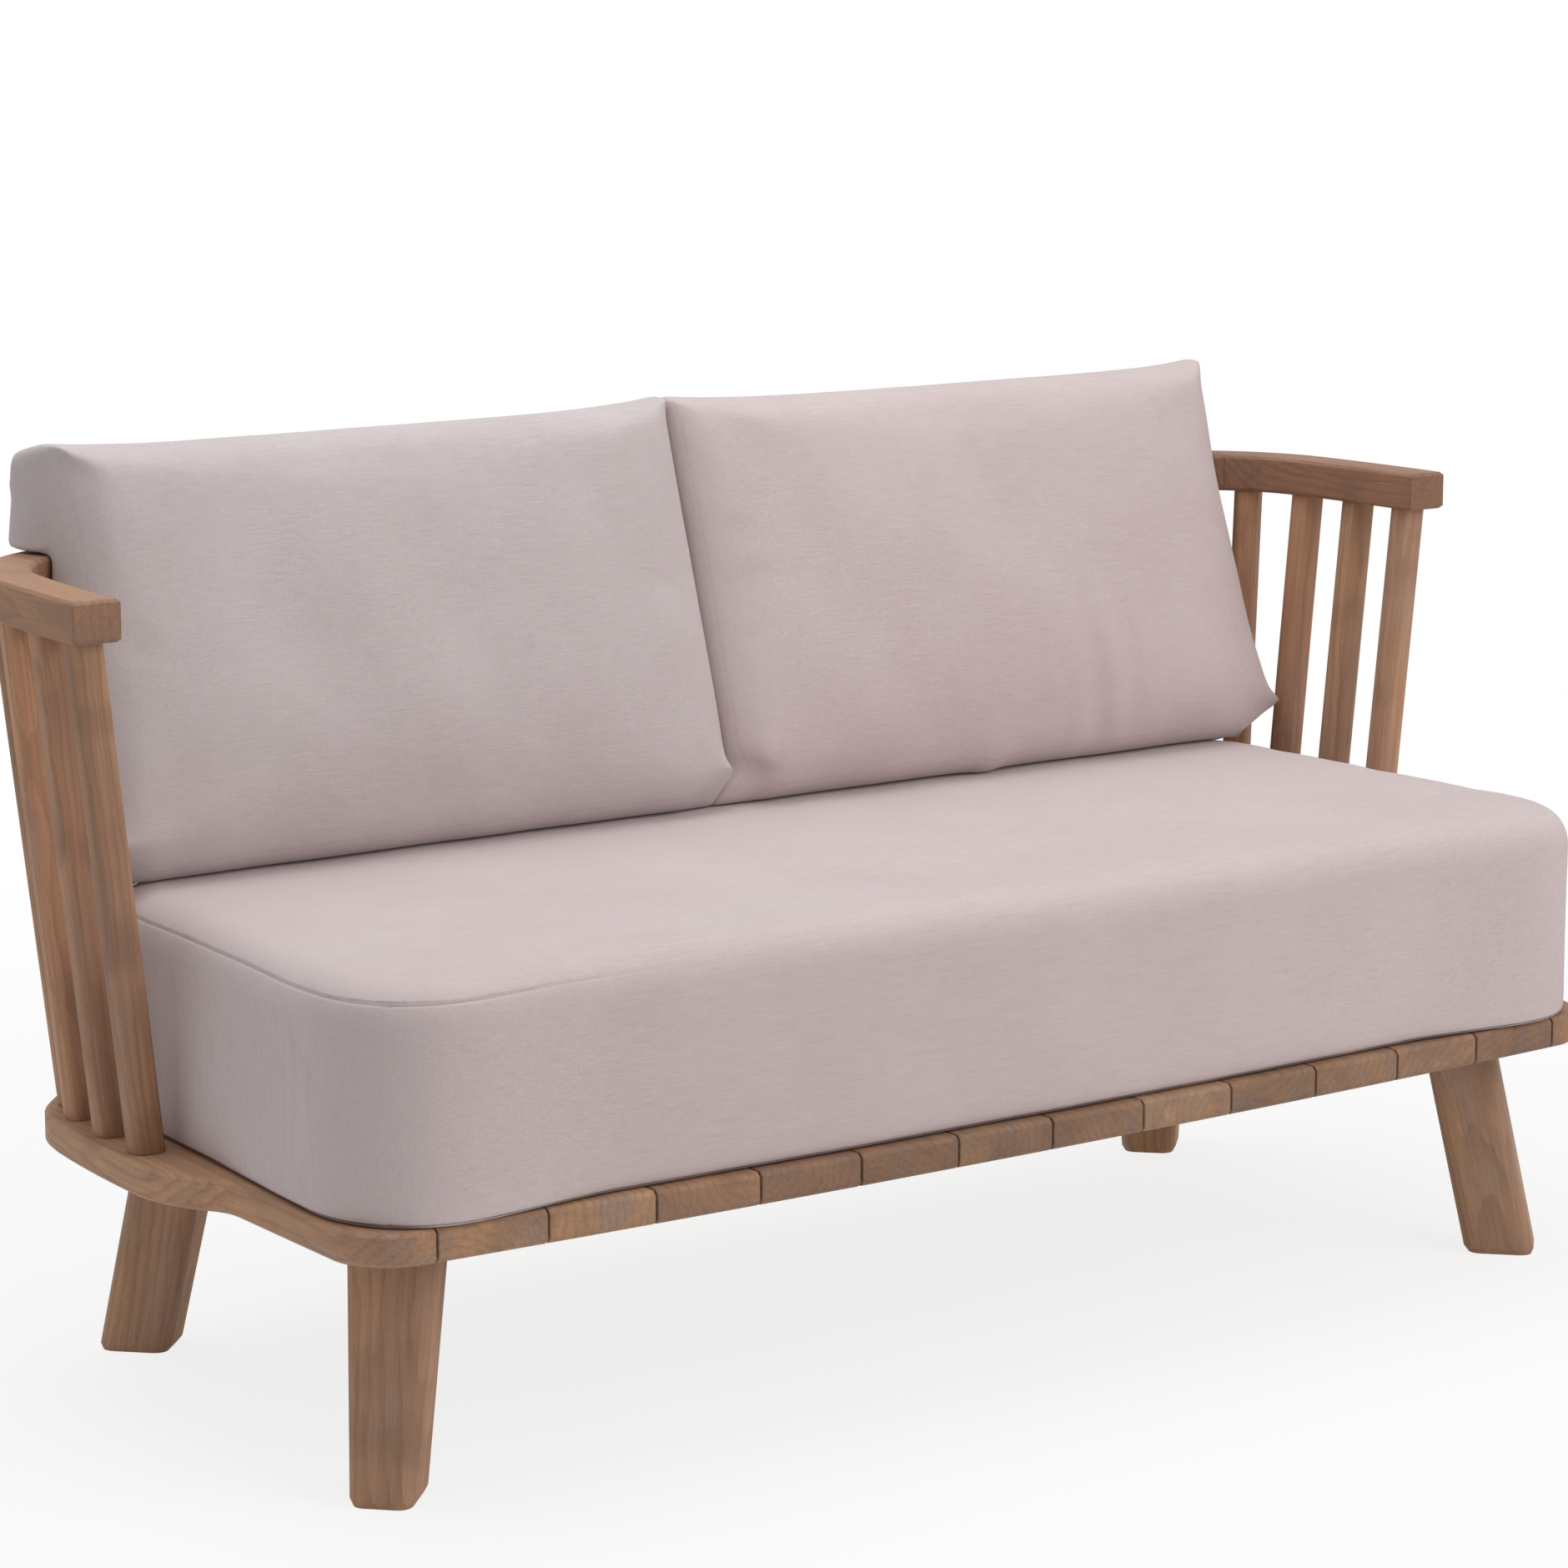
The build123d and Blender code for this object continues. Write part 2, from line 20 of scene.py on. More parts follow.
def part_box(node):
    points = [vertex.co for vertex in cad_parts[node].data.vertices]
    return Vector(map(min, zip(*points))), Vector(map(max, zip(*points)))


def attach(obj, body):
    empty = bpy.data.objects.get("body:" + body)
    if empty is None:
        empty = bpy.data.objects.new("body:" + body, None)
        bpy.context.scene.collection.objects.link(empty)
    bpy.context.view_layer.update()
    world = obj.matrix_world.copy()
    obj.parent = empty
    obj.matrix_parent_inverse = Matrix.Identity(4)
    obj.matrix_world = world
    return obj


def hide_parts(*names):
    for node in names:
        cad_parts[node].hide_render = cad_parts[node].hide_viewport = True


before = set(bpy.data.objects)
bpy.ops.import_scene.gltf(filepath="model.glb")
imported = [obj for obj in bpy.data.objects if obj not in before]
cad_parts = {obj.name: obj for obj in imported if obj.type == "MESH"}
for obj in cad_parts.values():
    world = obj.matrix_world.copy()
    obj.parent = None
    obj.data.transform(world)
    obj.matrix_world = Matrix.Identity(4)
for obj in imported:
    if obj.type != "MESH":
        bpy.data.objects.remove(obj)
log = logging.getLogger("garden_sofa")

ACROSS = (1.0, 0.0, 0.0)
BACKWARDS = (0.0, 1.0, 0.0)
WHITE = (1.0, 1.0, 1.0, 1.0)
TINY = 1e-9

# A Mix node has sockets of one name for each kind of data, so its colours go by place.
MIX_BELOW, MIX_OVER, MIX_RESULT = 6, 7, 2

Colour = tuple[float, float, float]
Inputs = dict[Any, Any]
Cells = list[tuple[int, ...]]


class Blend(Enum):
    """How a colour is laid over another."""

    MIX = "MIX"
    MULTIPLY = "MULTIPLY"


class Value:
    """A socket of a shader, with Python's operators as nodes."""

    def __init__(self, shader: "Shader", socket: bpy.types.NodeSocket) -> None:
        """Wrap a socket of a shader.

        Args:
            shader: The shader that the socket is in.
            socket: The output socket that carries the value.
        """
        self.shader = shader
        self.socket = socket

    def _math(self, operation: str, *values: Any) -> Self:
        """Node of an operation on some values."""
        raise NotImplementedError

    def __add__(self, other: Any) -> Self:
        """Sum."""
        return self._math("ADD", self, other)

    def __radd__(self, other: Any) -> Self:
        """Sum, with the value on the right."""
        return self._math("ADD", other, self)

    def __sub__(self, other: Any) -> Self:
        """Difference."""
        return self._math("SUBTRACT", self, other)

    def __rsub__(self, other: Any) -> Self:
        """Difference, with the value on the right."""
        return self._math("SUBTRACT", other, self)

    def __mul__(self, other: Any) -> Self:
        """Product, of vectors along each axis."""
        return self._math("MULTIPLY", self, other)

    def __rmul__(self, other: Any) -> Self:
        """Product, with the value on the right."""
        return self._math("MULTIPLY", other, self)

    def __truediv__(self, other: Any) -> Self:
        """Quotient."""
        return self._math("DIVIDE", self, other)

    def __rtruediv__(self, other: Any) -> Self:
        """Quotient, with the value on the right."""
        return self._math("DIVIDE", other, self)


class Number(Value):
    """A socket that carries a number, its operators as Math nodes."""

    def _math(self, operation: str, *values: Any) -> "Number":
        """Math node of an operation on some values."""
        return self.shader.number("ShaderNodeMath", {"operation": operation}, dict(enumerate(values)))

    def __abs__(self) -> "Number":
        """Absolute value."""
        return self._math("ABSOLUTE", self)

    def fraction(self) -> "Number":
        """What is left past the last whole number."""
        return self._math("FRACT", self)

    def sine(self) -> "Number":
        """Sine of an angle in radians."""
        return self._math("SINE", self)

    def root(self) -> "Number":
        """Square root."""
        return self._math("SQRT", self)

    def between(self, low: float, high: float) -> "Number":
        """Smooth step from 0 at low to 1 at high.

        Args:
            low: Value where the step starts.
            high: Value where the step ends.

        Returns:
            The eased value from 0 to 1.
        """
        return self.shader.number(
            "ShaderNodeMapRange",
            {"interpolation_type": "SMOOTHSTEP"},
            {"Value": self, "From Min": low, "From Max": high},
        )


class Direction(Value):
    """A socket that carries a vector or a colour, its operators as Vector Math nodes."""

    def _math(self, operation: str, *values: Any) -> "Direction":
        """Vector Math node of an operation on some values."""
        sockets = dict(enumerate(values))
        return self.shader.vector("ShaderNodeVectorMath", {"operation": operation}, sockets)

    def along(self, axis: Sequence[float]) -> Number:
        """How far the vector reaches along an axis.

        Args:
            axis: Unit vector of the axis.

        Returns:
            The dot product.
        """
        settings = {"operation": "DOT_PRODUCT"}
        return self.shader.number("ShaderNodeVectorMath", settings, {0: self, 1: tuple(axis)}, "Value")


class Shader:
    """Node tree of one finish, or of the sky."""

    def __init__(self, name: str, sky: bool = False) -> None:
        """Start an empty finish.

        Args:
            name: Name of the material or world.
            sky: Whether it is a world.
        """
        self.material = (bpy.data.worlds if sky else bpy.data.materials).new(name)
        self.material.use_nodes = True
        self.tree = self.material.node_tree
        self.tree.nodes.clear()

    def node(
        self, kind: str, settings: Inputs | None = None, sockets: Inputs | None = None
    ) -> bpy.types.Node:
        """Add a node.

        Args:
            kind: Type of the node.
            settings: Its own settings, set before its sockets.
            sockets: Value or link of each input socket, by name or place.

        Returns:
            The new node.
        """
        node = self.tree.nodes.new(kind)
        for name, value in (settings or {}).items():
            setattr(node, name, value)
        for name, value in (sockets or {}).items():
            if isinstance(value, Value):
                self.tree.links.new(value.socket, node.inputs[name])
            elif isinstance(value, bpy.types.NodeSocket):
                self.tree.links.new(value, node.inputs[name])
            else:
                node.inputs[name].default_value = value
        return node

    def number(self, kind: str, settings: Inputs, sockets: Inputs, output: str | int = 0) -> Number:
        """Add a node and take a number from it.

        Args:
            kind: Type of the node.
            settings: Its own settings.
            sockets: Value or link of each input socket.
            output: Name or place of the output.

        Returns:
            The output as a number.
        """
        return Number(self, self.node(kind, settings, sockets).outputs[output])

    def vector(self, kind: str, settings: Inputs, sockets: Inputs, output: str | int = 0) -> Direction:
        """Add a node and take a vector or colour from it.

        Args:
            kind: Type of the node.
            settings: Its own settings.
            sockets: Value or link of each input socket.
            output: Name or place of the output.

        Returns:
            The output as a vector.
        """
        return Direction(self, self.node(kind, settings, sockets).outputs[output])

    def place(self) -> Direction:
        """Place on the piece in its own frame, so that the finish moves with it."""
        return self.vector("ShaderNodeTexCoord", {}, {}, "Object")

    def normal(self) -> Direction:
        """Direction that the surface faces."""
        return self.vector("ShaderNodeNewGeometry", {}, {}, "Normal")

    def measure(self, name: str) -> Number:
        """Distance from a seam that the piece's points carry, the same on both sides of it."""
        return abs(self.number("ShaderNodeAttribute", {"attribute_name": name}, {}, "Fac"))

    def seen(self) -> Number:
        """1 for what the camera sees, straight, mirrored or through glass, and 0 for light.

        Returns:
            The sum of three kinds of ray.
        """
        path = self.node("ShaderNodeLightPath")
        kinds = ("Camera", "Glossy", "Transmission")
        straight, mirrored, through = (Number(self, path.outputs[f"Is {kind} Ray"]) for kind in kinds)
        return straight + mirrored + through

    def joined(self, x: Any, y: Any, z: Any) -> Direction:
        """Vector of three numbers."""
        return self.vector("ShaderNodeCombineXYZ", {}, {0: x, 1: y, 2: z})

    def noise(self, at: Direction, detail: float = 2.0, roughness: float = 0.5) -> Number:
        """Cloudy noise from 0 to 1 with lumps about one unit across.

        Args:
            at: Place, in units of a lump.
            detail: How many finer layers it has.
            roughness: How strong the finer layers are.

        Returns:
            The noise.
        """
        sockets = {"Vector": at, "Scale": 1.0, "Detail": detail, "Roughness": roughness}
        return self.number("ShaderNodeTexNoise", {}, sockets, "Fac")

    def cloud(self, at: Direction, size: float, detail: float = 2.0, roughness: float = 0.5) -> Number:
        """Cloudy noise from 0 to 1 with lumps of a size.

        Args:
            at: Place in metres.
            size: Size of a lump in metres.
            detail: How many finer layers it has.
            roughness: How strong the finer layers are.

        Returns:
            The noise.
        """
        return self.noise(at * ((1 / size,) * 3), detail, roughness)

    def mix(self, share: Any, first: Any, second: Any, blend: Blend = Blend.MIX) -> Direction:
        """Mix two colours.

        Args:
            share: How much of the second colour shows, from 0 to 1.
            first: The colour below.
            second: The colour laid over it.
            blend: How it is laid over.

        Returns:
            The mixed colour.
        """
        settings = {"data_type": "RGBA", "blend_type": blend.value}
        sockets = {0: share, MIX_BELOW: self._colour(first), MIX_OVER: self._colour(second)}
        return self.vector("ShaderNodeMix", settings, sockets, MIX_RESULT)

    @staticmethod
    def _colour(value: Any) -> Any:
        """A colour with its alpha, or a link as it is."""
        return value if isinstance(value, Value) else (*value, 1.0)

    def finish(
        self,
        colour: Any,
        roughness: Any,
        bumps: Any,
        depth: float,
        soft_edge: float = 0.0,
        **constants: float,
    ) -> None:
        """Close the tree with a surface.

        Args:
            colour: Base colour.
            roughness: Roughness, a number or a link.
            bumps: Height of the relief, from 0 to 1.
            depth: Height of the relief in metres.
            soft_edge: Radius that edges look rounded to, or 0.
            **constants: Other sockets of the surface, an underscore for a blank.
        """
        relief: Inputs = {"Height": bumps, "Distance": depth, "Strength": 1.0}
        if soft_edge:
            edge = self.node("ShaderNodeBevel", {"samples": 4}, {"Radius": soft_edge})
            relief["Normal"] = edge.outputs[0]
        bump = self.node("ShaderNodeBump", {}, relief)
        sockets: Inputs = {name.replace("_", " "): value for name, value in constants.items()}
        sockets |= {"Base Color": self._colour(colour), "Roughness": roughness, "Normal": bump.outputs[0]}
        surface = self.node("ShaderNodeBsdfPrincipled", {}, sockets)
        self.node("ShaderNodeOutputMaterial", {}, {"Surface": surface.outputs[0]})


@dataclass(frozen=True)
class Band:
    """Part of a noise that shows, and how strongly it does."""

    low: float
    high: float
    share: float = 1.0

    def above(self, value: Number) -> Number:
        """How strongly the high part of a noise shows."""
        return value.between(self.low, self.high) * self.share

    def below(self, value: Number) -> Number:
        """How strongly the low part of a noise shows."""
        return (1 - value.between(self.low, self.high)) * self.share


@dataclass(frozen=True)
class Fibre:
    """Noise that is drawn out along the grain of a piece."""

    length: float
    width: float
    detail: float = 2.0
    roughness: float = 0.5
    shift: float = 0.0

    def over(self, shader: Shader, run: Number, side: Number, rise: Number) -> Number:
        """Noise at a place in the wood.

        Args:
            shader: The shader it is made in.
            run: Place along the grain.
            side: Place across it.
            rise: Place across it, the other way.

        Returns:
            The noise from 0 to 1.
        """
        at = shader.joined(run / self.length + self.shift, side / self.width, rise / self.width)
        return shader.noise(at, self.detail, self.roughness)


@dataclass(frozen=True)
class Teak:
    """Weathered, sanded teak, its grain running along one piece."""

    brown: Colour = (0.330, 0.200, 0.125)
    orange: Colour = (0.460, 0.265, 0.140)
    grey: Colour = (0.330, 0.235, 0.180)
    red: Colour = (0.400, 0.185, 0.108)
    ring_line: Colour = (0.165, 0.088, 0.052)
    wander: Fibre = Fibre(length=0.22, width=0.05, detail=3.0)
    streak: Fibre = Fibre(length=0.16, width=0.0032, detail=3.0, roughness=0.6)
    pore: Fibre = Fibre(length=0.006, width=0.0007, detail=1.0)
    patch: Fibre = Fibre(length=0.30, width=0.045)
    weather: Fibre = Fibre(length=0.11, width=0.03, detail=4.0, roughness=0.6, shift=7.0)
    ring_width: float = 0.0085
    ring_wander: float = 0.030
    ring_rise: Band = Band(0.35, 0.95)
    ring_fall: Band = Band(0.95, 1.0)
    pore_band: Band = Band(0.62, 0.74)
    orange_band: Band = Band(0.38, 0.60)
    grey_band: Band = Band(0.45, 0.70, share=0.85)
    end_band: Band = Band(0.55, 0.85)
    stain_band: Band = Band(0.46, 0.72, share=0.42)
    streak_band: Band = Band(0.30, 0.62, share=0.34)
    stain_size: float = 1 / 11
    line_share: float = 0.30
    line_lost_at_end: float = 0.10
    pore_share: float = 0.45
    pore_lost_at_end: float = 0.2
    end_shade: float = 0.14
    dullness: float = 0.56
    dull_streak: float = 0.22
    relief_shares: tuple[float, float, float] = (0.6, 0.2, 0.2)
    relief: float = 0.00025
    soft_edge: float = 0.003

    def material(
        self,
        name: str,
        origin: Vector,
        grain: Vector,
        pith: Vector,
        seed: float,
        tint: float,
        redness: float,
    ) -> bpy.types.Material:
        """Make the finish of one piece.

        Args:
            name: Name of the piece.
            origin: A point in the middle of the piece.
            grain: Unit vector along its grain.
            pith: Offset from the middle of the piece to the middle of the trunk.
            seed: Shift of all noise, so that pieces differ.
            tint: How bright the piece is, 1 for the plain colours.
            redness: How red-brown the piece is, from 0 to 1.

        Returns:
            The material.
        """
        shader = Shader(f"teak_{name}")
        across = grain.orthogonal().normalized()
        third = grain.cross(across)
        place = shader.place() - tuple(origin)
        run = place.along(grain) + seed
        side, rise = place.along(across), place.along(third)
        wander = self.wander.over(shader, run, side, rise)
        out_side, out_rise = side - pith.dot(across), rise - pith.dot(third)
        radius = (out_side * out_side + out_rise * out_rise).root()
        rings = ((radius + wander * self.ring_wander) / self.ring_width).fraction()
        line = self.ring_rise.above(rings) * self.ring_fall.below(rings)
        streaks = self.streak.over(shader, run, side, rise)
        pores = self.pore_band.above(self.pore.over(shader, run, side, rise))
        patches = self.patch.over(shader, run, side, rise)
        weather = self.weather.over(shader, run, side, rise)
        colour = shader.mix(self.orange_band.above(patches), self.brown, self.orange)
        colour = shader.mix(self.grey_band.above(weather), colour, self.grey)
        colour = shader.mix(redness, colour, self.red)
        end_cut = self.end_band.above(abs(shader.normal().along(grain)))
        lines = line * (self.line_share - end_cut * self.line_lost_at_end)
        colour = shader.mix(lines, colour, self.ring_line)
        stained = place * ((1 / self.stain_size,) * 3) + (seed, 0.0, 0.0)
        stains = shader.noise(stained, detail=3.0, roughness=0.55)
        colour = shader.mix(self.stain_band.above(stains), colour, self.ring_line)
        colour = shader.mix(self.streak_band.below(streaks), colour, self.ring_line)
        holes = pores * (self.pore_share - end_cut * self.pore_lost_at_end)
        colour = shader.mix(holes, colour, self.ring_line)
        shade = (1 - end_cut * self.end_shade) * tint
        colour = shader.mix(1.0, colour, shader.joined(shade, shade, shade), Blend.MULTIPLY)
        raised, sunk, pitted = self.relief_shares
        relief = streaks * raised + (1 - line) * sunk + (1 - pores) * pitted
        roughness = self.dullness + streaks * self.dull_streak
        shader.finish(colour, roughness, relief, self.relief, self.soft_edge)
        return shader.material


@dataclass(frozen=True)
class WovenFabric:
    """Plain woven outdoor fabric with fine slubs that run from side to side, sewn at its edges.

    The upper seam fades out along X between two places, which lie off the sofa where it runs all round.
    The lower seam, where drawn, is a wide dark line: thread plus painted contact shadow at the foot.
    """

    colour: Colour = (0.620, 0.515, 0.510)
    pale_yarn: Colour = (0.715, 0.630, 0.625)
    dark_yarn: Colour = (0.480, 0.385, 0.375)
    thread: Colour = (0.250, 0.200, 0.190)
    slub_length: float = 0.030
    slub_width: float = 0.0011
    pale_slub: Band = Band(0.50, 0.72, share=0.45)
    dark_slub: Band = Band(0.26, 0.48, share=0.50)
    dark_upright: Band = Band(0.25, 0.50, share=0.22)
    cloud_size: float = 1 / 8
    cloud_band: Band = Band(0.35, 0.75, share=0.22)
    yarn: float = 0.0016
    seam: float = 1.0
    seam_from: float = 9.0
    seam_to: float = 10.0
    # How strongly the lower seam line shows, partly thread and partly painted contact shadow.
    foot_seam: float = 0.0
    seam_width: float = 0.0011
    foot_seam_shadow_width: float = 0.00275
    seam_hollow: float = 0.004
    wear_size: float = 1 / 14
    wear_band: Band = Band(0.30, 0.60)
    thread_share: float = 0.35
    thread_wear: float = 0.35
    # Share, patchiness and darkening of the lower seam line, which paint contact shadow along the foot.
    foot_seam_shadow_share: float = 0.60
    foot_shadow_patchiness: float = 0.40
    foot_painted_shade: float = 1 / 3
    pucker_length: float = 0.016
    pucker_reach: float = 0.022
    foot_pucker: float = 0.3
    weave_height: float = 0.16
    slub_height: float = 0.18
    pucker_height: float = 1.6
    hollow_depth: float = 1.3
    relief: float = 0.001
    dullness: float = 0.9
    sheen: float = 0.30
    sheen_dullness: float = 0.4

    def material(self, name: str, up: Vector, front: Vector) -> bpy.types.Material:
        """Make the finish of one cushion.

        Args:
            name: Name of the cushion.
            up: Unit vector up its face.
            front: Unit vector out of its face.

        Returns:
            The material.
        """
        shader = Shader(f"fabric_{name}")
        place = shader.place()
        x, y, z = place.along(ACROSS), place.along(up), place.along(front)
        level = y + z
        threads = shader.joined(x / self.slub_length, y / self.slub_width, z / self.slub_width)
        slubs = shader.noise(threads, detail=3.0, roughness=0.6)
        upright = shader.joined(x / self.slub_width, level / self.slub_length, 0.0)
        uprights = shader.noise(upright, roughness=0.6)
        cloud = shader.cloud(place, self.cloud_size, detail=3.0)
        colour = shader.mix(self.pale_slub.above(slubs), self.colour, self.pale_yarn)
        colour = shader.mix(self.dark_slub.below(slubs), colour, self.dark_yarn)
        colour = shader.mix(self.dark_upright.below(uprights), colour, self.dark_yarn)
        colour = shader.mix(self.cloud_band.above(cloud), colour, self.pale_yarn)
        head, foot = shader.measure("head_seam"), shader.measure("foot_seam")
        wear = self.wear_band.above(shader.cloud(place, self.wear_size))
        strength = (1 - place.along(ACROSS).between(self.seam_from, self.seam_to)) * self.seam
        stitched = (1 - head.between(0.0, self.seam_width)) * strength
        # Lower seam line, wide and dark: thread with painted contact shadow along the foot.
        foot_seam_shadow = (1 - foot.between(0.0, self.foot_seam_shadow_width)) * self.foot_seam
        worn, patchy_foot_shadow = wear * self.thread_wear, wear * self.foot_shadow_patchiness
        shadowed_foot_thread = tuple(part * self.foot_painted_shade for part in self.thread)
        colour = shader.mix(stitched * (self.thread_share + worn), colour, self.thread)
        colour = shader.mix(foot_seam_shadow * (self.foot_seam_shadow_share + patchy_foot_shadow), colour, shadowed_foot_thread)
        hollow = (1 - head.between(0.0, self.seam_hollow)) * strength
        near_head = (1 - head.between(0.0, self.pucker_reach)) * strength
        near_foot = (1 - foot.between(0.0, self.pucker_reach)) * self.foot_pucker
        puckers = shader.cloud(place, self.pucker_length, detail=1.0) * (near_head + near_foot)
        turn = 2 * math.pi / self.yarn
        weave = (x * turn).sine() * (level * turn).sine() * 0.5 + 0.5
        relief = weave * self.weave_height + slubs * self.slub_height
        relief = relief + puckers * self.pucker_height - hollow * self.hollow_depth
        sheen = {"Sheen_Weight": self.sheen, "Sheen_Roughness": self.sheen_dullness}
        shader.finish(colour, self.dullness, relief, self.relief, **sheen)
        return shader.material


@dataclass(frozen=True)
class Foam:
    """Open-celled foam of the fillings."""

    colour: Colour = (0.80, 0.77, 0.66)
    cell: float = 0.002
    cell_shade: float = 0.85
    dullness: float = 0.95

    def material(self) -> bpy.types.Material:
        """Make the finish of the foam blocks.

        Returns:
            The material.
        """
        shader = Shader("foam")
        cells = shader.cloud(shader.place(), self.cell)
        colour = shader.mix(cells, self.colour, tuple(part * self.cell_shade for part in self.colour))
        shader.finish(colour, self.dullness, cells, self.cell / 2)
        return shader.material


@dataclass(frozen=True)
class Steel:
    """Brushed stainless steel of the screws and bolts."""

    colour: Colour = (0.56, 0.55, 0.53)
    scratch_width: float = 0.0006
    scratch_length: float = 0.05
    scratch_share: float = 0.4
    scratch_shade: float = 0.7
    dullness: float = 0.28
    dull_scratch: float = 0.2

    def material(self) -> bpy.types.Material:
        """Make the finish of the screws and bolts.

        Returns:
            The material.
        """
        shader = Shader("stainless_steel")
        at = shader.place() * (1 / self.scratch_width, 1 / self.scratch_width, 1 / self.scratch_length)
        brushing = shader.noise(at)
        darker = tuple(part * self.scratch_shade for part in self.colour)
        colour = shader.mix(brushing * self.scratch_share, self.colour, darker)
        roughness = self.dullness + brushing * self.dull_scratch
        shader.finish(colour, roughness, brushing, self.scratch_width / 10, Metallic=1.0)
        return shader.material


@dataclass(frozen=True)
class StudioFloor:
    """Plain white floor that keeps a faint shadow under the object and none far from it."""

    colour: Colour = (0.90, 0.90, 0.90)
    grit_colour: Colour = (0.85, 0.85, 0.85)
    grit_size: float = 0.0025
    grit_share: float = 0.05
    near: float = 0.9
    far: float = 2.4
    near_white: float = 0.82

    def material(self) -> bpy.types.Material:
        """Make the finish of the floor.

        Returns:
            The material.
        """
        shader = Shader("studio_floor")
        place = shader.place()
        x, y = place.along(ACROSS), place.along(BACKWARDS)
        reach = (x * x + y * y).root().between(self.near, self.far)
        share = (reach * (1 - self.near_white) + self.near_white) * shader.seen()
        grit = shader.cloud(place, self.grit_size)
        colour = shader.mix(grit * self.grit_share, self.colour, self.grit_colour)
        matt = shader.node("ShaderNodeBsdfDiffuse", {}, {"Color": colour})
        white = shader.node("ShaderNodeEmission", {}, {"Strength": 1.0})
        layers: Inputs = {0: share, 1: matt.outputs[0], 2: white.outputs[0]}
        blend = shader.node("ShaderNodeMixShader", {}, layers)
        shader.node("ShaderNodeOutputMaterial", {}, {"Surface": blend.outputs[0]})
        return shader.material


@dataclass(frozen=True)
class Character:
    """Ranges that the looks of one kind of piece are drawn from."""

    redness: tuple[float, float]
    tint: tuple[float, float]


FIXINGS = ("leg_bolts", "board_screws")

# The first mark that is in the name of a node gives its character.
CHARACTERS: dict[str, Character] = {
    "arm_rail_left": Character(redness=(0.50, 0.65), tint=(0.96, 1.02)),
    # Pieces named rail get a darker tint: random tone plus painted shade for the shaded inner face of the
    # right arm rail.
    "rail": Character(redness=(0.70, 0.85), tint=(0.72, 0.80)),
    "spindle": Character(redness=(0.10, 0.55), tint=(1.04, 1.42)),
    # The rear legs get a lighter tint: random tone plus painted light that lifts their shaded faces.
    "leg_rear": Character(redness=(0.10, 0.30), tint=(1.22, 1.42)),
    "leg": Character(redness=(0.10, 0.35), tint=(1.05, 1.26)),
    "end_board": Character(redness=(0.15, 0.30), tint=(1.15, 1.30)),
    "": Character(redness=(0.0, 0.35), tint=(0.80, 1.30)),
}


def cover_with(node: bpy.types.Object, finish: bpy.types.Material) -> None:
    """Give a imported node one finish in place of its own."""
    node.data.materials.clear()
    node.data.materials.append(finish)


def corners_of(name: str) -> np.ndarray:
    """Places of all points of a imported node."""
    return np.array([v.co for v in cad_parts[name].data.vertices])


def added(name: str, data: bpy.types.ID) -> bpy.types.Object:
    """Put a new object in the scene.

    Args:
        name: Name of the object.
        data: Its mesh, lamp or camera.

    Returns:
        The object.
    """
    piece = bpy.data.objects.new(name, data)
    bpy.context.scene.collection.objects.link(piece)
    return piece


@dataclass
class Timber:
    """All teak pieces of the frame, each with its own grain."""

    finish: Teak = Teak()
    random_start: int = 11
    pith_reach: tuple[float, float] = (0.03, 0.16)
    noise_shift: tuple[float, float] = (2.0, 40.0)
    end_share: float = 1 / 6

    def dress(self) -> None:
        """Give every wooden node its finish."""
        draws = np.random.default_rng(self.random_start)
        for name, node in sorted(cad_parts.items()):
            if "cushion" in name or name in FIXINGS:
                continue
            low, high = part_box(name)
            middle = (low + high) / 2
            grain = self.grain_of(name)
            angle = draws.uniform(0.0, 2.0 * math.pi)
            reach = draws.uniform(*self.pith_reach)
            across = grain.orthogonal().normalized()
            pith = across * (math.cos(angle) * reach) + grain.cross(across) * (math.sin(angle) * reach)
            seed = draws.uniform(*self.noise_shift)
            character = self.character_of(name)
            tint = draws.uniform(*character.tint)
            redness = draws.uniform(*character.redness)
            finish = self.finish.material(name, middle, grain, pith, seed, tint, redness)
            cover_with(node, finish)
            log.info("dressed %s", name)

    @staticmethod
    def character_of(name: str) -> Character:
        """How pieces of its kind look.

        Args:
            name: Name of the node.

        Returns:
            The first kind whose mark is in the name.
        """
        return next(character for mark, character in CHARACTERS.items() if mark in name)

    def grain_of(self, name: str) -> Vector:
        """Direction of the grain of a piece.

        Args:
            name: Name of the node.

        Returns:
            Unit vector along the grain.
        """
        if name.startswith(("spindle", "leg")):
            return self.axis_of(name)
        if name.startswith(("deck_slat", "end_board", "arm_rail")):
            return Vector(BACKWARDS)
        return Vector(ACROSS)

    def axis_of(self, name: str) -> Vector:
        """Long axis of an upright piece, from the middles of its lower and upper ends.

        Args:
            name: Name of the node.

        Returns:
            Unit vector up the piece.
        """
        points = corners_of(name)
        low, high = points[:, 2].min(), points[:, 2].max()
        band = (high - low) * self.end_share
        foot = points[points[:, 2] < low + band].mean(axis=0)
        head = points[points[:, 2] > high - band].mean(axis=0)
        return Vector(head - foot).normalized()


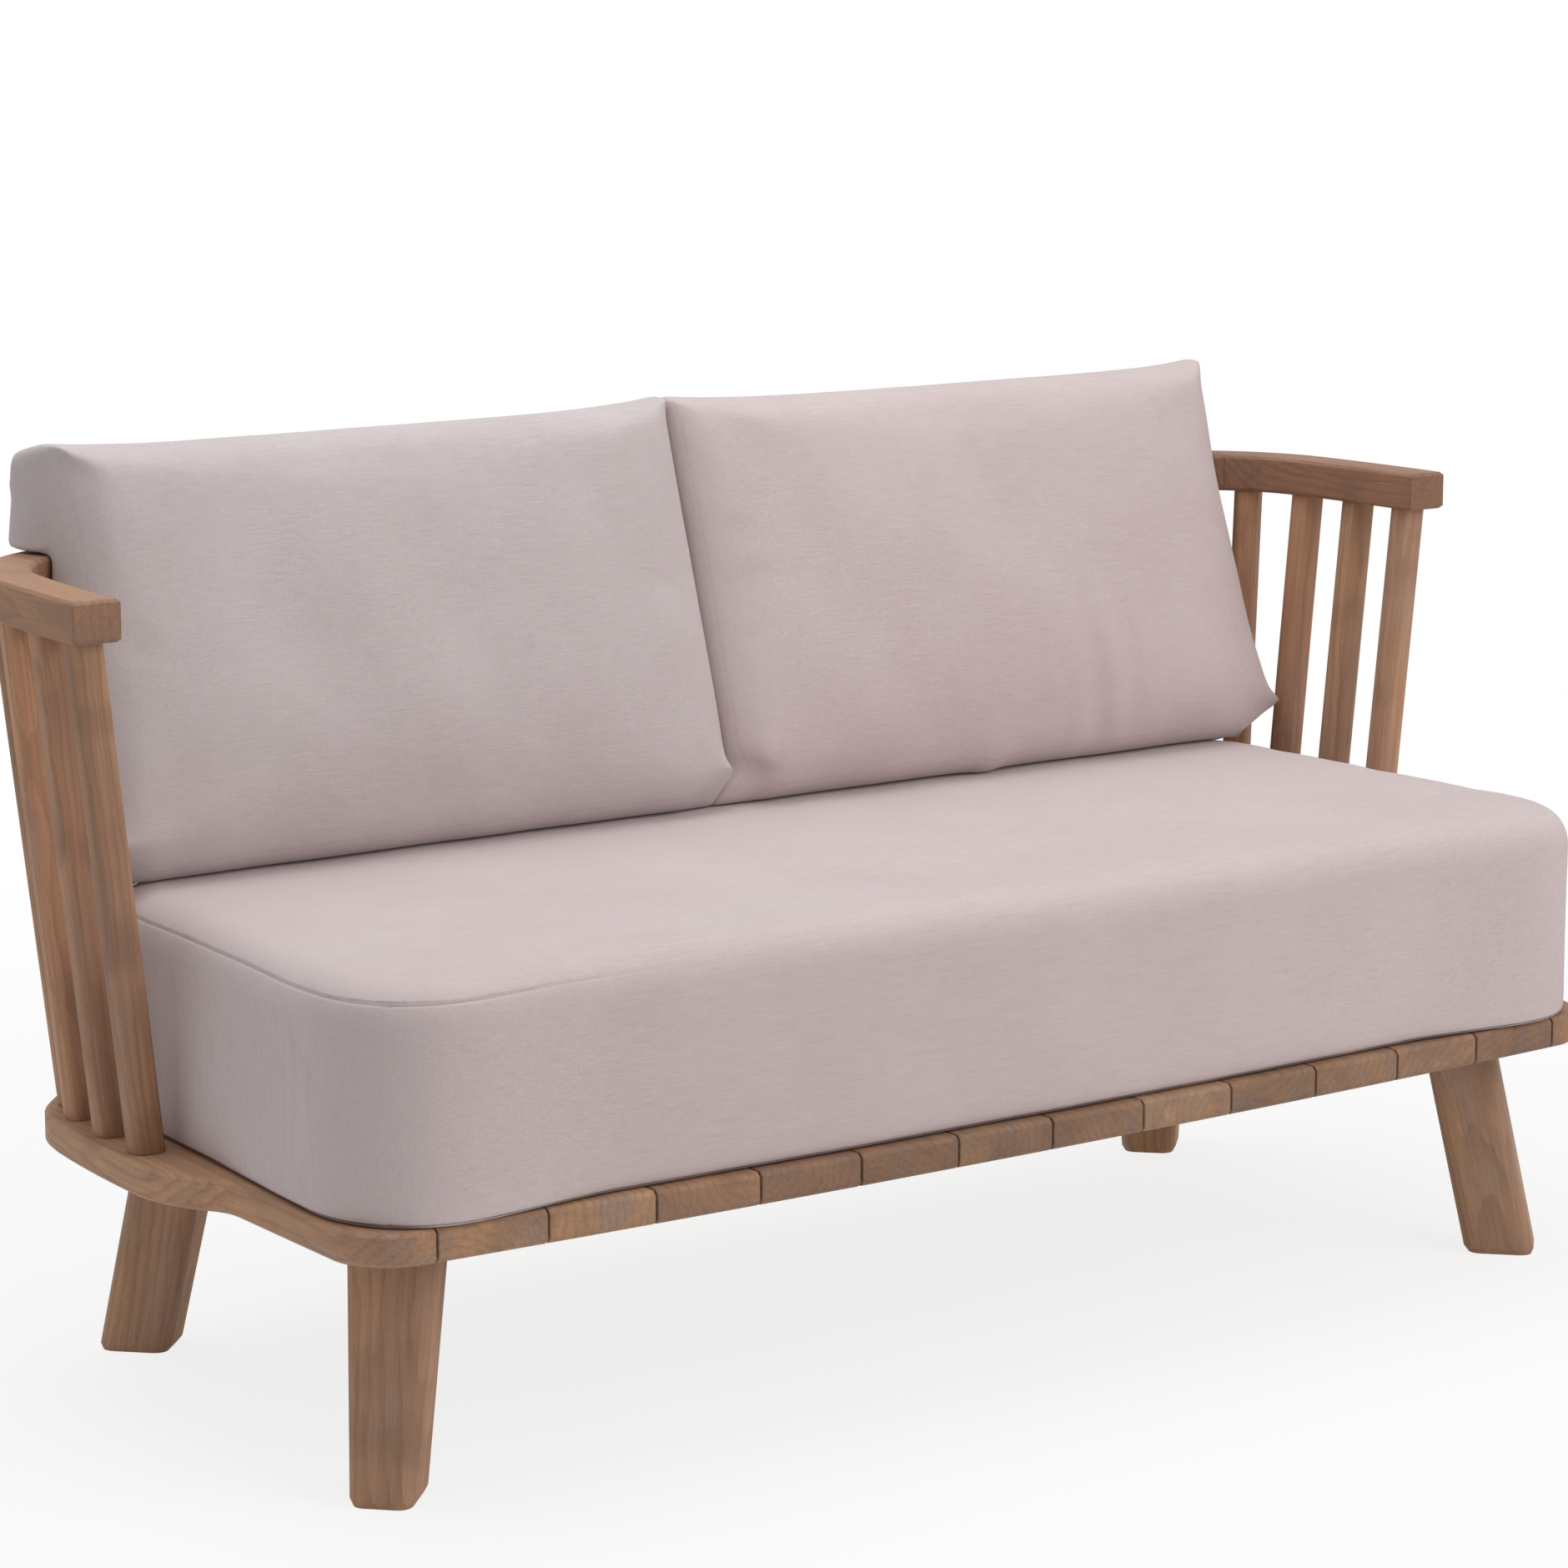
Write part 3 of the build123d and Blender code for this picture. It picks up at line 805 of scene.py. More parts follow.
@dataclass(frozen=True)
class Leg:
    """A leg as the photo shows it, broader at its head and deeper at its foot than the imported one.

    How much of its depth grows inwards is a share from 0 to 1, and the rest grows outwards.
    """

    node: str
    inward: float
    head_breadth_share: float = 0.21
    head_depth_share: float = 0.05
    foot_depth_share: float = 0.20
    ring_share: float = 0.01

    def build(self) -> bpy.types.Object:
        """Returns:
            The finished piece.
        """
        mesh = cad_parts[self.node].data.copy()
        mesh.name = f"{self.node}_look"
        points = coordinates(mesh)
        low, high = points[:, 2].min(), points[:, 2].max()
        share = (points[:, 2] - low) / (high - low)
        ends = []
        for ring in (share < self.ring_share, share > 1 - self.ring_share):
            ends.append((points[ring, :2].min(axis=0) + points[ring, :2].max(axis=0)) / 2)
        centre = ends[0] + np.outer(share, ends[1] - ends[0])
        outward = np.sign(ends[0]) / math.sqrt(2.0)
        across = np.array([-outward[1], outward[0]])
        away = points[:, :2] - centre
        breadth, depth = away @ across, away @ outward
        deeper = self.foot_depth_share + (self.head_depth_share - self.foot_depth_share) * share
        grown = (depth - depth.max() * (2 * self.inward - 1)) * deeper
        points[:, :2] += np.outer(breadth * self.head_breadth_share * share, across)
        points[:, :2] += np.outer(grown, outward)
        set_coordinates(mesh, points)
        piece = added(f"{self.node}_wood", mesh)
        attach(piece, "frame")
        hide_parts(self.node)
        log.info("made %s", piece.name)
        return piece


def smooth_share(values: np.ndarray) -> np.ndarray:
    """Ease numbers from 0 to 1, held at both ends."""
    held = np.clip(values, 0.0, 1.0)
    return held * held * (3.0 - 2.0 * held)


def even_least(values: np.ndarray, groups: np.ndarray, chosen: np.ndarray, rounds: int = 4) -> np.ndarray:
    """Least value of each group, filled in where a group has none and evened out from group to group.

    Args:
        values: Value of each point.
        groups: Number of each point's group, from 0 up.
        chosen: Which points count.
        rounds: How often each least value is blended with its neighbours.

    Returns:
        The least value of the group that each point is in.
    """
    least = np.full(groups.max() + 1, np.inf)
    np.minimum.at(least, groups[chosen], values[chosen])
    known = np.isfinite(least)
    least = np.interp(np.arange(len(least)), np.nonzero(known)[0], least[known])
    for _ in range(rounds):
        least[1:-1] = (least[:-2] + 2 * least[1:-1] + least[2:]) / 4
    return least[groups]


def even_loop(points: np.ndarray, count: int) -> np.ndarray:
    """Points at even steps round a closed outline.

    Args:
        points: Corners of the outline, one row each.
        count: How many points to give.

    Returns:
        The even points.
    """
    closed = np.vstack([points, points[:1]])
    steps = np.linalg.norm(np.diff(closed, axis=0), axis=1)
    run = np.concatenate([[0.0], np.cumsum(steps)])
    at = np.linspace(0.0, run[-1], count, endpoint=False)
    return np.stack([np.interp(at, run, closed[:, axis]) for axis in range(closed.shape[1])], axis=1)


def inward_ways(loop: np.ndarray) -> np.ndarray:
    """Unit vectors into a loop at each of its points.

    Args:
        loop: Points of the loop, counter-clockwise.

    Returns:
        The unit vectors, one row a point.
    """
    tangent = np.roll(loop, -1, axis=0) - np.roll(loop, 1, axis=0)
    tangent /= np.linalg.norm(tangent, axis=1, keepdims=True)
    return np.stack([-tangent[:, 1], tangent[:, 0]], axis=1)


class Plan:
    """Closed outline of a cushion, and an even net of points that fills it.

    Distances from it are worked out for one batch of points at a time.
    """

    batch: int = 2000

    def __init__(self, corners: np.ndarray, points: int = 1600) -> None:
        """Lay even points along an outline.

        Args:
            corners: Corners of the outline, counter-clockwise.
            points: How many points to lay.
        """
        self.loop = even_loop(corners, points)
        self.normals = inward_ways(self.loop)

    def stretch(self, start: int, end: int, count: int) -> np.ndarray:
        """Even points along the outline.

        Args:
            start: Index of the outline's point where the stretch starts.
            end: Index of the point where it ends.
            count: How many cells it has.

        Returns:
            The points, one more than cells.
        """
        steps = (end - start) % len(self.loop)
        at = (start + np.linspace(0.0, steps, count + 1)) % len(self.loop)
        whole = at.astype(int)
        part = (at - whole)[:, None]
        return self.loop[whole] * (1 - part) + self.loop[(whole + 1) % len(self.loop)] * part

    def net(self, across: int, along: int) -> np.ndarray:
        """Net of points between the four sides, blended from side to side.

        Args:
            across: Cells along the first axis.
            along: Cells along the second axis.

        Returns:
            Points by their two places in the net.
        """
        diagonals = ((-1, -1), (1, -1), (1, 1), (-1, 1))
        low_left, low_right, high_right, high_left = (
            int(np.argmax(self.loop @ np.array(d, float))) for d in diagonals
        )
        low = self.stretch(low_left, low_right, across)[:, None]
        right = self.stretch(low_right, high_right, along)[None]
        high = self.stretch(high_right, high_left, across)[::-1][:, None]
        left = self.stretch(high_left, low_left, along)[::-1][None]
        s = np.linspace(0.0, 1.0, across + 1)[:, None, None]
        t = np.linspace(0.0, 1.0, along + 1)[None, :, None]
        low_corners = (1 - s) * (1 - t) * low[0] + s * (1 - t) * low[-1]
        corners = low_corners + (1 - s) * t * high[0] + s * t * high[-1]
        return (1 - t) * low + t * high + (1 - s) * left + s * right - corners

    def edge(self, points: np.ndarray) -> tuple[np.ndarray, np.ndarray]:
        """Distance of points from the outline and the way inwards from it.

        Args:
            points: The points, one row each.

        Returns:
            The distances, and unit vectors inwards from the nearest points of the outline.
        """
        nearest = np.empty(len(points), int)
        for start in range(0, len(points), self.batch):
            some = slice(start, start + self.batch)
            gaps = points[some, None, :] - self.loop[None, :, :]
            nearest[some] = (gaps**2).sum(axis=2).argmin(axis=1)
        distance = np.linalg.norm(points - self.loop[nearest], axis=1)
        return distance, self.normals[nearest]


def box_cells(counts: tuple[int, int, int]) -> tuple[np.ndarray, Cells]:
    """Surface of a box cut into cells.

    Args:
        counts: Cells along each axis.

    Returns:
        Whole-number places of the points, and the cells as indices of their points.
    """
    places: dict[tuple[int, ...], int] = {}
    cells = []
    for axis in range(3):
        first, second = (axis + 1) % 3, (axis + 2) % 3
        for end in (0, counts[axis]):
            for i in range(counts[first]):
                for j in range(counts[second]):
                    corners = []
                    for step_i, step_j in ((0, 0), (1, 0), (1, 1), (0, 1)):
                        place = [0, 0, 0]
                        place[axis], place[first], place[second] = end, i + step_i, j + step_j
                        corners.append(places.setdefault(tuple(place), len(places)))
                    cells.append(tuple(corners if end else reversed(corners)))
    return np.array(list(places)), cells


def rounded_edge(run: np.ndarray, radius: float) -> tuple[np.ndarray, np.ndarray]:
    """Rounding of an edge between a side and a flat face.

    Args:
        run: Distance past the edge over the flat face, or below it down the side as a negative.
        radius: Radius of the rounding.

    Returns:
        How far in from the side each point lies, and how far below the flat face.
    """
    angle = math.pi / 4 * (1 + np.clip(run / radius, -1.0, 1.0))
    inset = np.where(run < radius, radius * (1 - np.cos(angle)), run)
    drop = np.where(run > -radius, radius * (1 - np.sin(angle)), -run)
    return inset, drop


def coordinates(mesh: bpy.types.Mesh) -> np.ndarray:
    """Places of all points of a mesh.

    Args:
        mesh: The mesh.

    Returns:
        The places, one row a point.
    """
    flat = np.empty(len(mesh.vertices) * 3, np.float32)
    mesh.vertices.foreach_get("co", flat)
    return flat.reshape(-1, 3).astype(float)


def set_coordinates(mesh: bpy.types.Mesh, points: np.ndarray) -> None:
    """Move all points of a mesh."""
    mesh.vertices.foreach_set("co", points.astype(np.float32).ravel())
    mesh.update()


def face_outwards(mesh: bpy.types.Mesh) -> None:
    """Turn all faces of a closed mesh outwards.

    Args:
        mesh: The mesh, which is changed in place.
    """
    shape = bmesh.new()
    shape.from_mesh(mesh)
    bmesh.ops.recalc_face_normals(shape, faces=shape.faces[:])
    shape.to_mesh(mesh)
    shape.free()


def search_tree(mesh: bpy.types.Mesh) -> BVHTree:
    """Search tree over the faces of a mesh."""
    faces = [tuple(p.vertices) for p in mesh.polygons]
    return BVHTree.FromPolygons([v.co for v in mesh.vertices], faces)


def evaluated_mesh(piece: bpy.types.Object) -> bpy.types.Mesh:
    """Mesh of a piece with its modifiers applied."""
    depsgraph = bpy.context.evaluated_depsgraph_get()
    return bpy.data.meshes.new_from_object(piece.evaluated_get(depsgraph))


@dataclass
class Cushion:
    """A cushion: an even net over its form, a pressure simulation and its sewn details."""

    node: str
    cell: float
    cap: float
    thickness: float
    head_radius: float
    foot_radius: float
    side_draw: float
    least_cells: int = 4
    pressure: float = 4.0
    stiffness: float = 15.0
    bending_stiffness: float = 0.5
    quality: int = 5
    frames: int = 20
    fill: float = 0.8
    finish: WovenFabric = WovenFabric()

    def plan(self) -> Plan:
        """Outline of the cushion in its own plane."""
        raise NotImplementedError

    def to_frame(self, local: np.ndarray) -> np.ndarray:
        """Places in the model's frame of places over the cushion's own plane."""
        raise NotImplementedError

    def shaped(self, rest: np.ndarray, blown: np.ndarray) -> np.ndarray:
        """Final places of the points, from the start shape and the blown one."""
        raise NotImplementedError

    def grain_axes(self) -> tuple[Vector, Vector]:
        """Unit vectors up the cushion's face and out of it."""
        raise NotImplementedError

    def build(self) -> bpy.types.Object:
        """Returns:
            The finished piece.
        """
        local, cells, head_run, foot_run = self.form()
        mesh = bpy.data.meshes.new(self.node)
        mesh.from_pydata(self.to_frame(local).tolist(), [], cells)
        for seam, run in (("head_seam", head_run), ("foot_seam", foot_run)):
            mesh.attributes.new(seam, "FLOAT", "POINT").data.foreach_set("value", run)
        face_outwards(mesh)
        piece = added(f"{self.node}_fabric", mesh)
        rest = coordinates(mesh)
        blown = self.blown_up(piece, rest)
        set_coordinates(mesh, self.shaped(rest, blown))
        mesh.shade_smooth()
        finer = piece.modifiers.new("finer", "SUBSURF")
        finer.levels = 1
        finer.render_levels = 1
        mesh.materials.append(self.finish.material(self.node, *self.grain_axes()))
        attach(piece, self.node)
        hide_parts(f"{self.node}_cover")
        log.info("made %s with %d points", piece.name, len(rest))
        return piece

    def form(self) -> tuple[np.ndarray, Cells, np.ndarray, np.ndarray]:
        """Net over the start shape.

        Returns:
            Places over the cushion's own plane, its cells, and how far each point lies past the
            upper and the lower seam, over the face as a positive and down the side as a negative.
        """
        plan = self.plan()
        spans = plan.loop.max(axis=0) - plan.loop.min(axis=0)
        sizes = (*spans, self.thickness)
        counts = tuple(max(int(round(size / self.cell)), self.least_cells) for size in sizes)
        places, cells = box_cells(counts)
        flat = plan.net(counts[0], counts[1])[places[:, 0], places[:, 1]]
        level = places[:, 2] / counts[2] * self.thickness
        reach, normals = plan.edge(flat)
        on_side = (places[:, :2] == 0).any(axis=1) | (places[:, :2] == counts[:2]).any(axis=1)
        reach[on_side] = 0.0
        over, under = places[:, 2] == counts[2], places[:, 2] == 0
        head_run = np.where(under, -reach, reach) + level - self.thickness
        foot_run = np.where(over, -reach, reach) - level
        head_inset, head_drop = rounded_edge(head_run, self.head_radius)
        foot_inset, foot_drop = rounded_edge(foot_run, self.foot_radius)
        upper = level > self.thickness / 2
        inset = np.where(upper, head_inset, foot_inset)
        height = np.where(upper, self.thickness - head_drop, foot_drop)
        middle = 1 - (2 * level / self.thickness - 1) ** 2
        move = inset - reach + np.where(on_side, self.side_draw * middle, 0.0)
        local = np.column_stack([flat + normals * move[:, None], height])
        return local, cells, head_run, foot_run

    def blown_up(self, piece: bpy.types.Object, rest: np.ndarray) -> np.ndarray:
        """Blow the cover up with a cloth simulation and hold back how far a point moves.

        Args:
            piece: The cushion.
            rest: Its places before.

        Returns:
            Its places after.
        """
        scene = bpy.context.scene
        cloth = piece.modifiers.new("Cloth", "CLOTH")
        cloth.settings.quality = self.quality
        cloth.settings.use_pressure = True
        cloth.settings.uniform_pressure_force = self.pressure
        cloth.settings.effector_weights.gravity = 0.0
        cloth.settings.tension_stiffness = self.stiffness
        cloth.settings.compression_stiffness = self.stiffness
        cloth.settings.bending_stiffness = self.bending_stiffness
        cloth.point_cache.frame_start = 1
        cloth.point_cache.frame_end = self.frames
        for number in range(1, self.frames + 1):
            scene.frame_set(number)
        blown_mesh = evaluated_mesh(piece)
        blown = coordinates(blown_mesh)
        bpy.data.meshes.remove(blown_mesh)
        piece.modifiers.remove(cloth)
        scene.frame_set(1)
        move = blown - rest
        length = np.linalg.norm(move, axis=1, keepdims=True)
        held = self.cap * np.tanh(length / self.cap)
        return rest + move * held / np.maximum(length, TINY)


@dataclass
class SeatCushion(Cushion):
    """Thick seat cushion that fills the space between the arms."""

    node: str = "seat_cushion"
    cell: float = 0.012
    cap: float = 0.006
    thickness: float = field(init=False)
    head_radius: float = 0.028
    foot_radius: float = 0.004
    side_draw: float = 0.001
    shrink: float = 0.002
    outline_points: int = 400
    outline_rounds: int = 6
    corner_push: float = 0.018
    corner_behind: float = 0.06
    corner_depth: float = 0.34
    corner_beside: float = 0.44
    corner_breadth: float = 0.20
    crown: float = 0.009
    crown_reach: float = 0.10
    crown_power: float = 2.2
    crown_from_share: float = 0.6
    proud: float = 0.008
    # The seat's lower seam is drawn as a dark line of painted contact shadow along the deck.
    finish: WovenFabric = WovenFabric(seam_from=-0.66, seam_to=-0.36, foot_seam=1.0)

    def __post_init__(self) -> None:
        """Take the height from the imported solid."""
        low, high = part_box(f"{self.node}_cover")
        self.low, self.top = low.z, high.z + self.proud
        self.thickness = self.top - self.low - self.crown

    def plan(self) -> Plan:
        """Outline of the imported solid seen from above, a little smaller and fuller at its front corners.

        Returns:
            The outline.
        """
        corners = corners_of(f"{self.node}_cover")[:, :2]
        outline = corners[convex_hull_2d([Vector(corner) for corner in corners])]
        following = np.roll(outline, -1, axis=0)
        if (outline[:, 0] * following[:, 1] - outline[:, 1] * following[:, 0]).sum() < 0:
            outline = outline[::-1]
        loop = even_loop(outline, self.outline_points)
        for _ in range(self.outline_rounds):
            loop = (np.roll(loop, 1, axis=0) + 2 * loop + np.roll(loop, -1, axis=0)) / 4
        ahead = smooth_share((self.corner_behind - loop[:, 1]) / self.corner_depth)
        beside = smooth_share((np.abs(loop[:, 0]) - self.corner_beside) / self.corner_breadth)
        drawn_in = self.shrink - ahead * beside * self.corner_push
        self.outline = Plan(loop + inward_ways(loop) * drawn_in[:, None])
        return self.outline

    def to_frame(self, local: np.ndarray) -> np.ndarray:
        """Lift the form onto the deck."""
        return local + np.array([0.0, 0.0, self.low])

    def shaped(self, rest: np.ndarray, blown: np.ndarray) -> np.ndarray:
        """Crown the top and keep the foot flat on the deck.

        Args:
            rest: Places of the start shape.
            blown: Places after the simulation.

        Returns:
            The final places.
        """
        points = blown.copy()
        reach, _ = self.outline.edge(rest[:, :2])
        height = (rest[:, 2] - self.low) / self.thickness
        rise = np.clip(reach / self.crown_reach, 0.0, 1.0)
        dome = 1.0 - (1.0 - rise) ** self.crown_power
        upper = smooth_share((height - self.crown_from_share) / (1 - self.crown_from_share))
        points[:, 2] += self.crown * dome * upper
        points[:, 2] = np.clip(points[:, 2], self.low, self.top)
        return points

    def grain_axes(self) -> tuple[Vector, Vector]:
        """The face is the front, so up is up."""
        return Vector((0.0, 0.0, 1.0)), Vector((0.0, -1.0, 0.0))


@dataclass
class Fence:
    """Inner side of the rail and the spindles below it, which the back cushions lean on."""

    clearance: float = 0.0012
    above_rail: float = 0.002
    rail_band: float = 0.008
    over_rail: float = 0.085
    rest_reach: float = 0.015
    rest_height: float = 0.055
    open_reach: float = 2.0
    step: float = math.radians(0.5)
    past_side: float = math.radians(5.0)
    slack: float = 0.001

    def __post_init__(self) -> None:
        """Measure the rail all round from the inside, and the lean of the spindles."""
        low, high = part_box("back_rail")
        self.rail_low, self.rail_top = low.z, high.z
        rays = round((math.pi + 2 * self.past_side) / self.step) + 1
        self.angles = np.linspace(-self.past_side, math.pi + self.past_side, rays)
        names = ("arm_rail_left", "back_rail", "arm_rail_right")
        trees = [search_tree(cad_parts[name].data) for name in names]
        self.reach = np.array([self.distance(trees, angle) for angle in self.angles])
        points = corners_of("spindle_14")
        self.foot_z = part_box("back_board")[1].z
        head = points[points[:, 2] > self.rail_low - self.slack]
        foot = points[points[:, 2] < self.foot_z + self.slack]
        self.inner_head = head[:, 1].min()
        self.inner_foot = foot[:, 1].min()
        self.inner_rail = self.distance(trees, math.pi / 2)

    def distance(self, trees: list[BVHTree], angle: float) -> float:
        """Distance from the middle of the sofa out to the rail's inner side.

        Args:
            trees: Search trees of the rail's pieces.
            angle: Direction in plan.

        Returns:
            The distance, or a long one where the rail is open.
        """
        start = Vector((0.0, 0.0, (self.rail_low + self.rail_top) / 2))
        way = Vector((math.cos(angle), math.sin(angle), 0.0))
        hits = [tree.ray_cast(start, way)[3] for tree in trees]
        return min([hit for hit in hits if hit is not None], default=self.open_reach)

    def wall(self, points: np.ndarray) -> tuple[np.ndarray, np.ndarray]:
        """How far out points and the rail beside them lie.

        Args:
            points: Places of the points.

        Returns:
            Distances of the points and of the rail from the middle of the sofa, in plan.
        """
        angle = np.arctan2(points[:, 1], points[:, 0])
        return np.linalg.norm(points[:, :2], axis=1), np.interp(angle, self.angles, self.reach)

    def held_inside(self, points: np.ndarray) -> np.ndarray:
        """Bring points that are beyond the fence back inside it, free above the rail.

        Args:
            points: Places of the points.

        Returns:
            Their places after.
        """
        distance, wall = self.wall(points)
        slope = (self.inner_head - self.inner_foot) / (self.rail_low - self.foot_z)
        spindle = self.inner_head - slope * (self.rail_low - points[:, 2])
        inset = np.clip(self.inner_rail - spindle, 0.0, None)
        over = points[:, 2] - self.rail_top - self.above_rail
        free = smooth_share(over / self.rail_band) * self.over_rail
        limit = wall - self.clearance - inset + free
        held = points.copy()
        held[:, :2] *= np.minimum(limit / np.maximum(distance, TINY), 1.0)[:, None]
        return held

    def rested(self, points: np.ndarray) -> np.ndarray:
        """Let what reaches out over the rail sink down to rest on it.

        Args:
            points: Places of the points.

        Returns:
            Their places after.
        """
        distance, wall = self.wall(points)
        beyond = smooth_share((distance - wall) / self.rest_reach)
        height = np.clip(points[:, 2] - self.rail_top - self.above_rail, 0.0, None)
        sunk = points.copy()
        sunk[:, 2] -= height * beyond * (1 - smooth_share(height / self.rest_height))
        return sunk


# Weights that keep the gathers of all corners of both cushions apart in the noise.
CORNER_SEEDS = (3.0, 7.0, 20.0)


@dataclass
class BackCushion(Cushion):
    """Loose cushion that leans on the back, its lower half held between the arms."""

    side: int = 1
    seat: BVHTree | None = None
    fence: Fence | None = None
    cell: float = 0.009
    cap: float = 0.010
    thickness: float = 0.082
    head_radius: float = 0.034
    foot_radius: float = 0.015
    side_draw: float = 0.001
    height: float = 0.428
    shrink: float = 0.004
    corner_radius: float = 0.014
    corner_points: int = 24
    outline_points: int = 1200
    edge_draw: float = 0.007
    side_band_share: float = 0.1
    head_band_share: float = 0.15
    solid_lean: float = math.radians(14.0)
    lean: float = math.radians(17.5)
    spread: float = 0.0
    front_crown: float = 0.008
    rear_crown: float = 0.002
    face_crown: float = 0.018
    crown_power: float = 2.2
    sag: float = 0.035
    sag_reach: float = 0.13
    rear_fullness: float = 0.032
    rear_reach: float = 0.12
    rear_full_share: float = 0.8
    rear_from_share: float = 0.3
    side_fullness: float = 0.024
    side_reach: float = 0.11
    foot_spread: float = 0.020
    foot_from_share: float = 0.4
    ear_reach: float = 0.065
    ear_lift: float = 0.036
    ear_push: float = 0.016
    inner_push: float = 0.016
    tuck: float = 0.014
    tuck_reach: float = 0.06
    tuck_height: float = 0.036
    rumple: float = 0.0068
    rumple_size: float = 0.085
    rumple_stretch: float = 1.5
    rumple_seed: float = 10.0
    smooth_rear_share: float = 0.05
    head_rumple_share: float = 0.5
    gather: float = 0.0048
    gather_reach: float = 0.11
    gather_turns: float = 3.0
    gather_rise: float = 4.0
    fold: float = 0.0
    fold_at: float = 0.12
    fold_width: float = 0.050
    fold_reach: float = 0.055
    fold_slant: float = 6.0
    fold_below: float = 0.03
    fold_head_reach: float = 0.08
    fold_foot_reach: float = 0.05
    seat_gap: float = 0.0006
    seat_level_to: float = 0.64
    seat_cells: int = 3
    front_from_share: float = 0.45
    middle_gap: float = 0.0008
    middle_bulge: float = 0.002
    middle_press: float = -0.002
    filling_share: float = 0.92
    finish: WovenFabric = WovenFabric(seam=0.15)

    def __post_init__(self) -> None:
        """Set the cushion's own frame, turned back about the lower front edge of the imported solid."""
        self.out = Vector((float(self.side), 0.0, 0.0))
        solid_up, solid_front = self.leaning(self.solid_lean)
        self.up, self.front = self.leaning(self.lean)
        corners = [v.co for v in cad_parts[f"{self.node}_cover"].data.vertices]
        reach_out = max(self.out.dot(corner) for corner in corners) + self.spread
        foot = min(solid_up.dot(corner) for corner in corners)
        face = max(solid_front.dot(corner) for corner in corners)
        self.width = reach_out + self.middle_bulge
        self.hinge = solid_up * foot + solid_front * (face - self.front_crown)
        middle = self.out * (reach_out - self.width / 2)
        self.origin = middle + self.hinge + self.up * (self.height / 2) - self.front * self.thickness

    @staticmethod
    def leaning(lean: float) -> tuple[Vector, Vector]:
        """Unit vectors up a face that leans back by an angle, and out of it."""
        up = Vector((0.0, math.sin(lean), math.cos(lean)))
        return up, Vector((0.0, -up.z, up.y))

    def plan(self) -> Plan:
        """Outline in the cushion's plane, its sides drawn in between the corners.

        Returns:
            The outline.
        """
        half_w, half_h = self.width / 2 - self.shrink, self.height / 2 - self.shrink
        reach = np.array([half_w - self.corner_radius, half_h - self.corner_radius])
        rounded = []
        for quarter, corner in enumerate(((1, 1), (-1, 1), (-1, -1), (1, -1))):
            turns = np.linspace(quarter, quarter + 1, self.corner_points) * math.pi / 2
            arc = np.column_stack([np.cos(turns), np.sin(turns)])
            rounded.append(corner * reach + self.corner_radius * arc)
        loop = even_loop(np.vstack(rounded), self.outline_points)
        share_x, share_y = np.abs(loop[:, 0]) / half_w, np.abs(loop[:, 1]) / half_h
        on_side = smooth_share((share_x - 1 + self.side_band_share) / self.side_band_share)
        on_top = smooth_share((share_y - 1 + self.head_band_share) / self.head_band_share)
        loop[:, 0] -= np.sign(loop[:, 0]) * on_side * self.edge_draw * (1 - share_y**3)
        loop[:, 1] -= np.sign(loop[:, 1]) * on_top * self.edge_draw * (1 - share_x**5)
        return Plan(loop)

    def axes(self) -> np.ndarray:
        """The cushion's own axes, one a row."""
        return np.array([self.out, self.up, self.front])

    def to_frame(self, local: np.ndarray) -> np.ndarray:
        """Places in the model's frame of places in the cushion's own."""
        return local @ self.axes() + np.array(self.origin)

    def to_local(self, points: np.ndarray) -> np.ndarray:
        """Places in the cushion's own frame of places in the model's."""
        return (points - np.array(self.origin)) @ self.axes().T

    def shaped(self, rest: np.ndarray, blown: np.ndarray) -> np.ndarray:
        """Crown both faces, lift the lower corners, and lean the cushion on seat and back.

        Args:
            rest: Places of the start shape.
            blown: Places after the simulation.

        Returns:
            The final places.
        """
        start, local = self.to_local(rest), self.to_local(blown)
        points = self.fence.held_inside(self.to_frame(local + self.filled_out(start)))
        points = self.meet_middle(self.set_down(points, start), start)
        points = self.fence.held_inside(self.eared(points, start))
        points[:, 0] = self.side * np.maximum(self.side * points[:, 0], self.middle_gap)
        low = 1 - smooth_share((points[:, 2] - self.hinge.z) / self.tuck_height)
        points[:, 0] -= self.tuck * low * np.exp(-((points[:, 0] / self.tuck_reach) ** 2))
        return self.fence.rested(points)

    def filled_out(self, start: np.ndarray) -> np.ndarray:
        """How far the filling presses each point out of the start shape.

        Args:
            start: Places of the points in the cushion's own frame before.

        Returns:
            The moves along the cushion's own axes.
        """
        x, y, z = start.T
        half_w, half_h = self.width / 2, self.height / 2
        ahead = smooth_share(z / self.thickness)
        above = y + self.sag
        share_sag = np.where(above > 0, above / (half_h + self.sag), -above / (half_h - self.sag))
        low_dome = 1 - np.clip(share_sag, 0.0, 1.0) ** self.crown_power
        dome = (1 - np.clip(np.abs(x) / half_w, 0.0, 1.0) ** 3) * low_dome
        move = np.zeros_like(start)
        move[:, 2] = dome * (self.face_crown * ahead - self.rear_crown * (1 - ahead))
        head = smooth_share((y - half_h + self.rear_reach) / (self.rear_full_share * self.rear_reach))
        outside = smooth_share((x / half_w - self.rear_from_share) / (1 - self.rear_from_share))
        move[:, 2] -= self.rear_fullness * (1 - ahead) * head * outside
        move[:, 2] += self.unevenness(start, ahead)
        upper = smooth_share(y / half_h + 0.5)
        edge = smooth_share((x - half_w + self.side_reach) / self.side_reach)
        move[:, 0] = self.side_fullness * (1 - ahead) * upper * edge
        outer = smooth_share((x / half_w - self.foot_from_share) / (1 - self.foot_from_share))
        move[:, 0] += self.foot_spread * outer * ((half_h - y) / self.height) ** 2
        return move

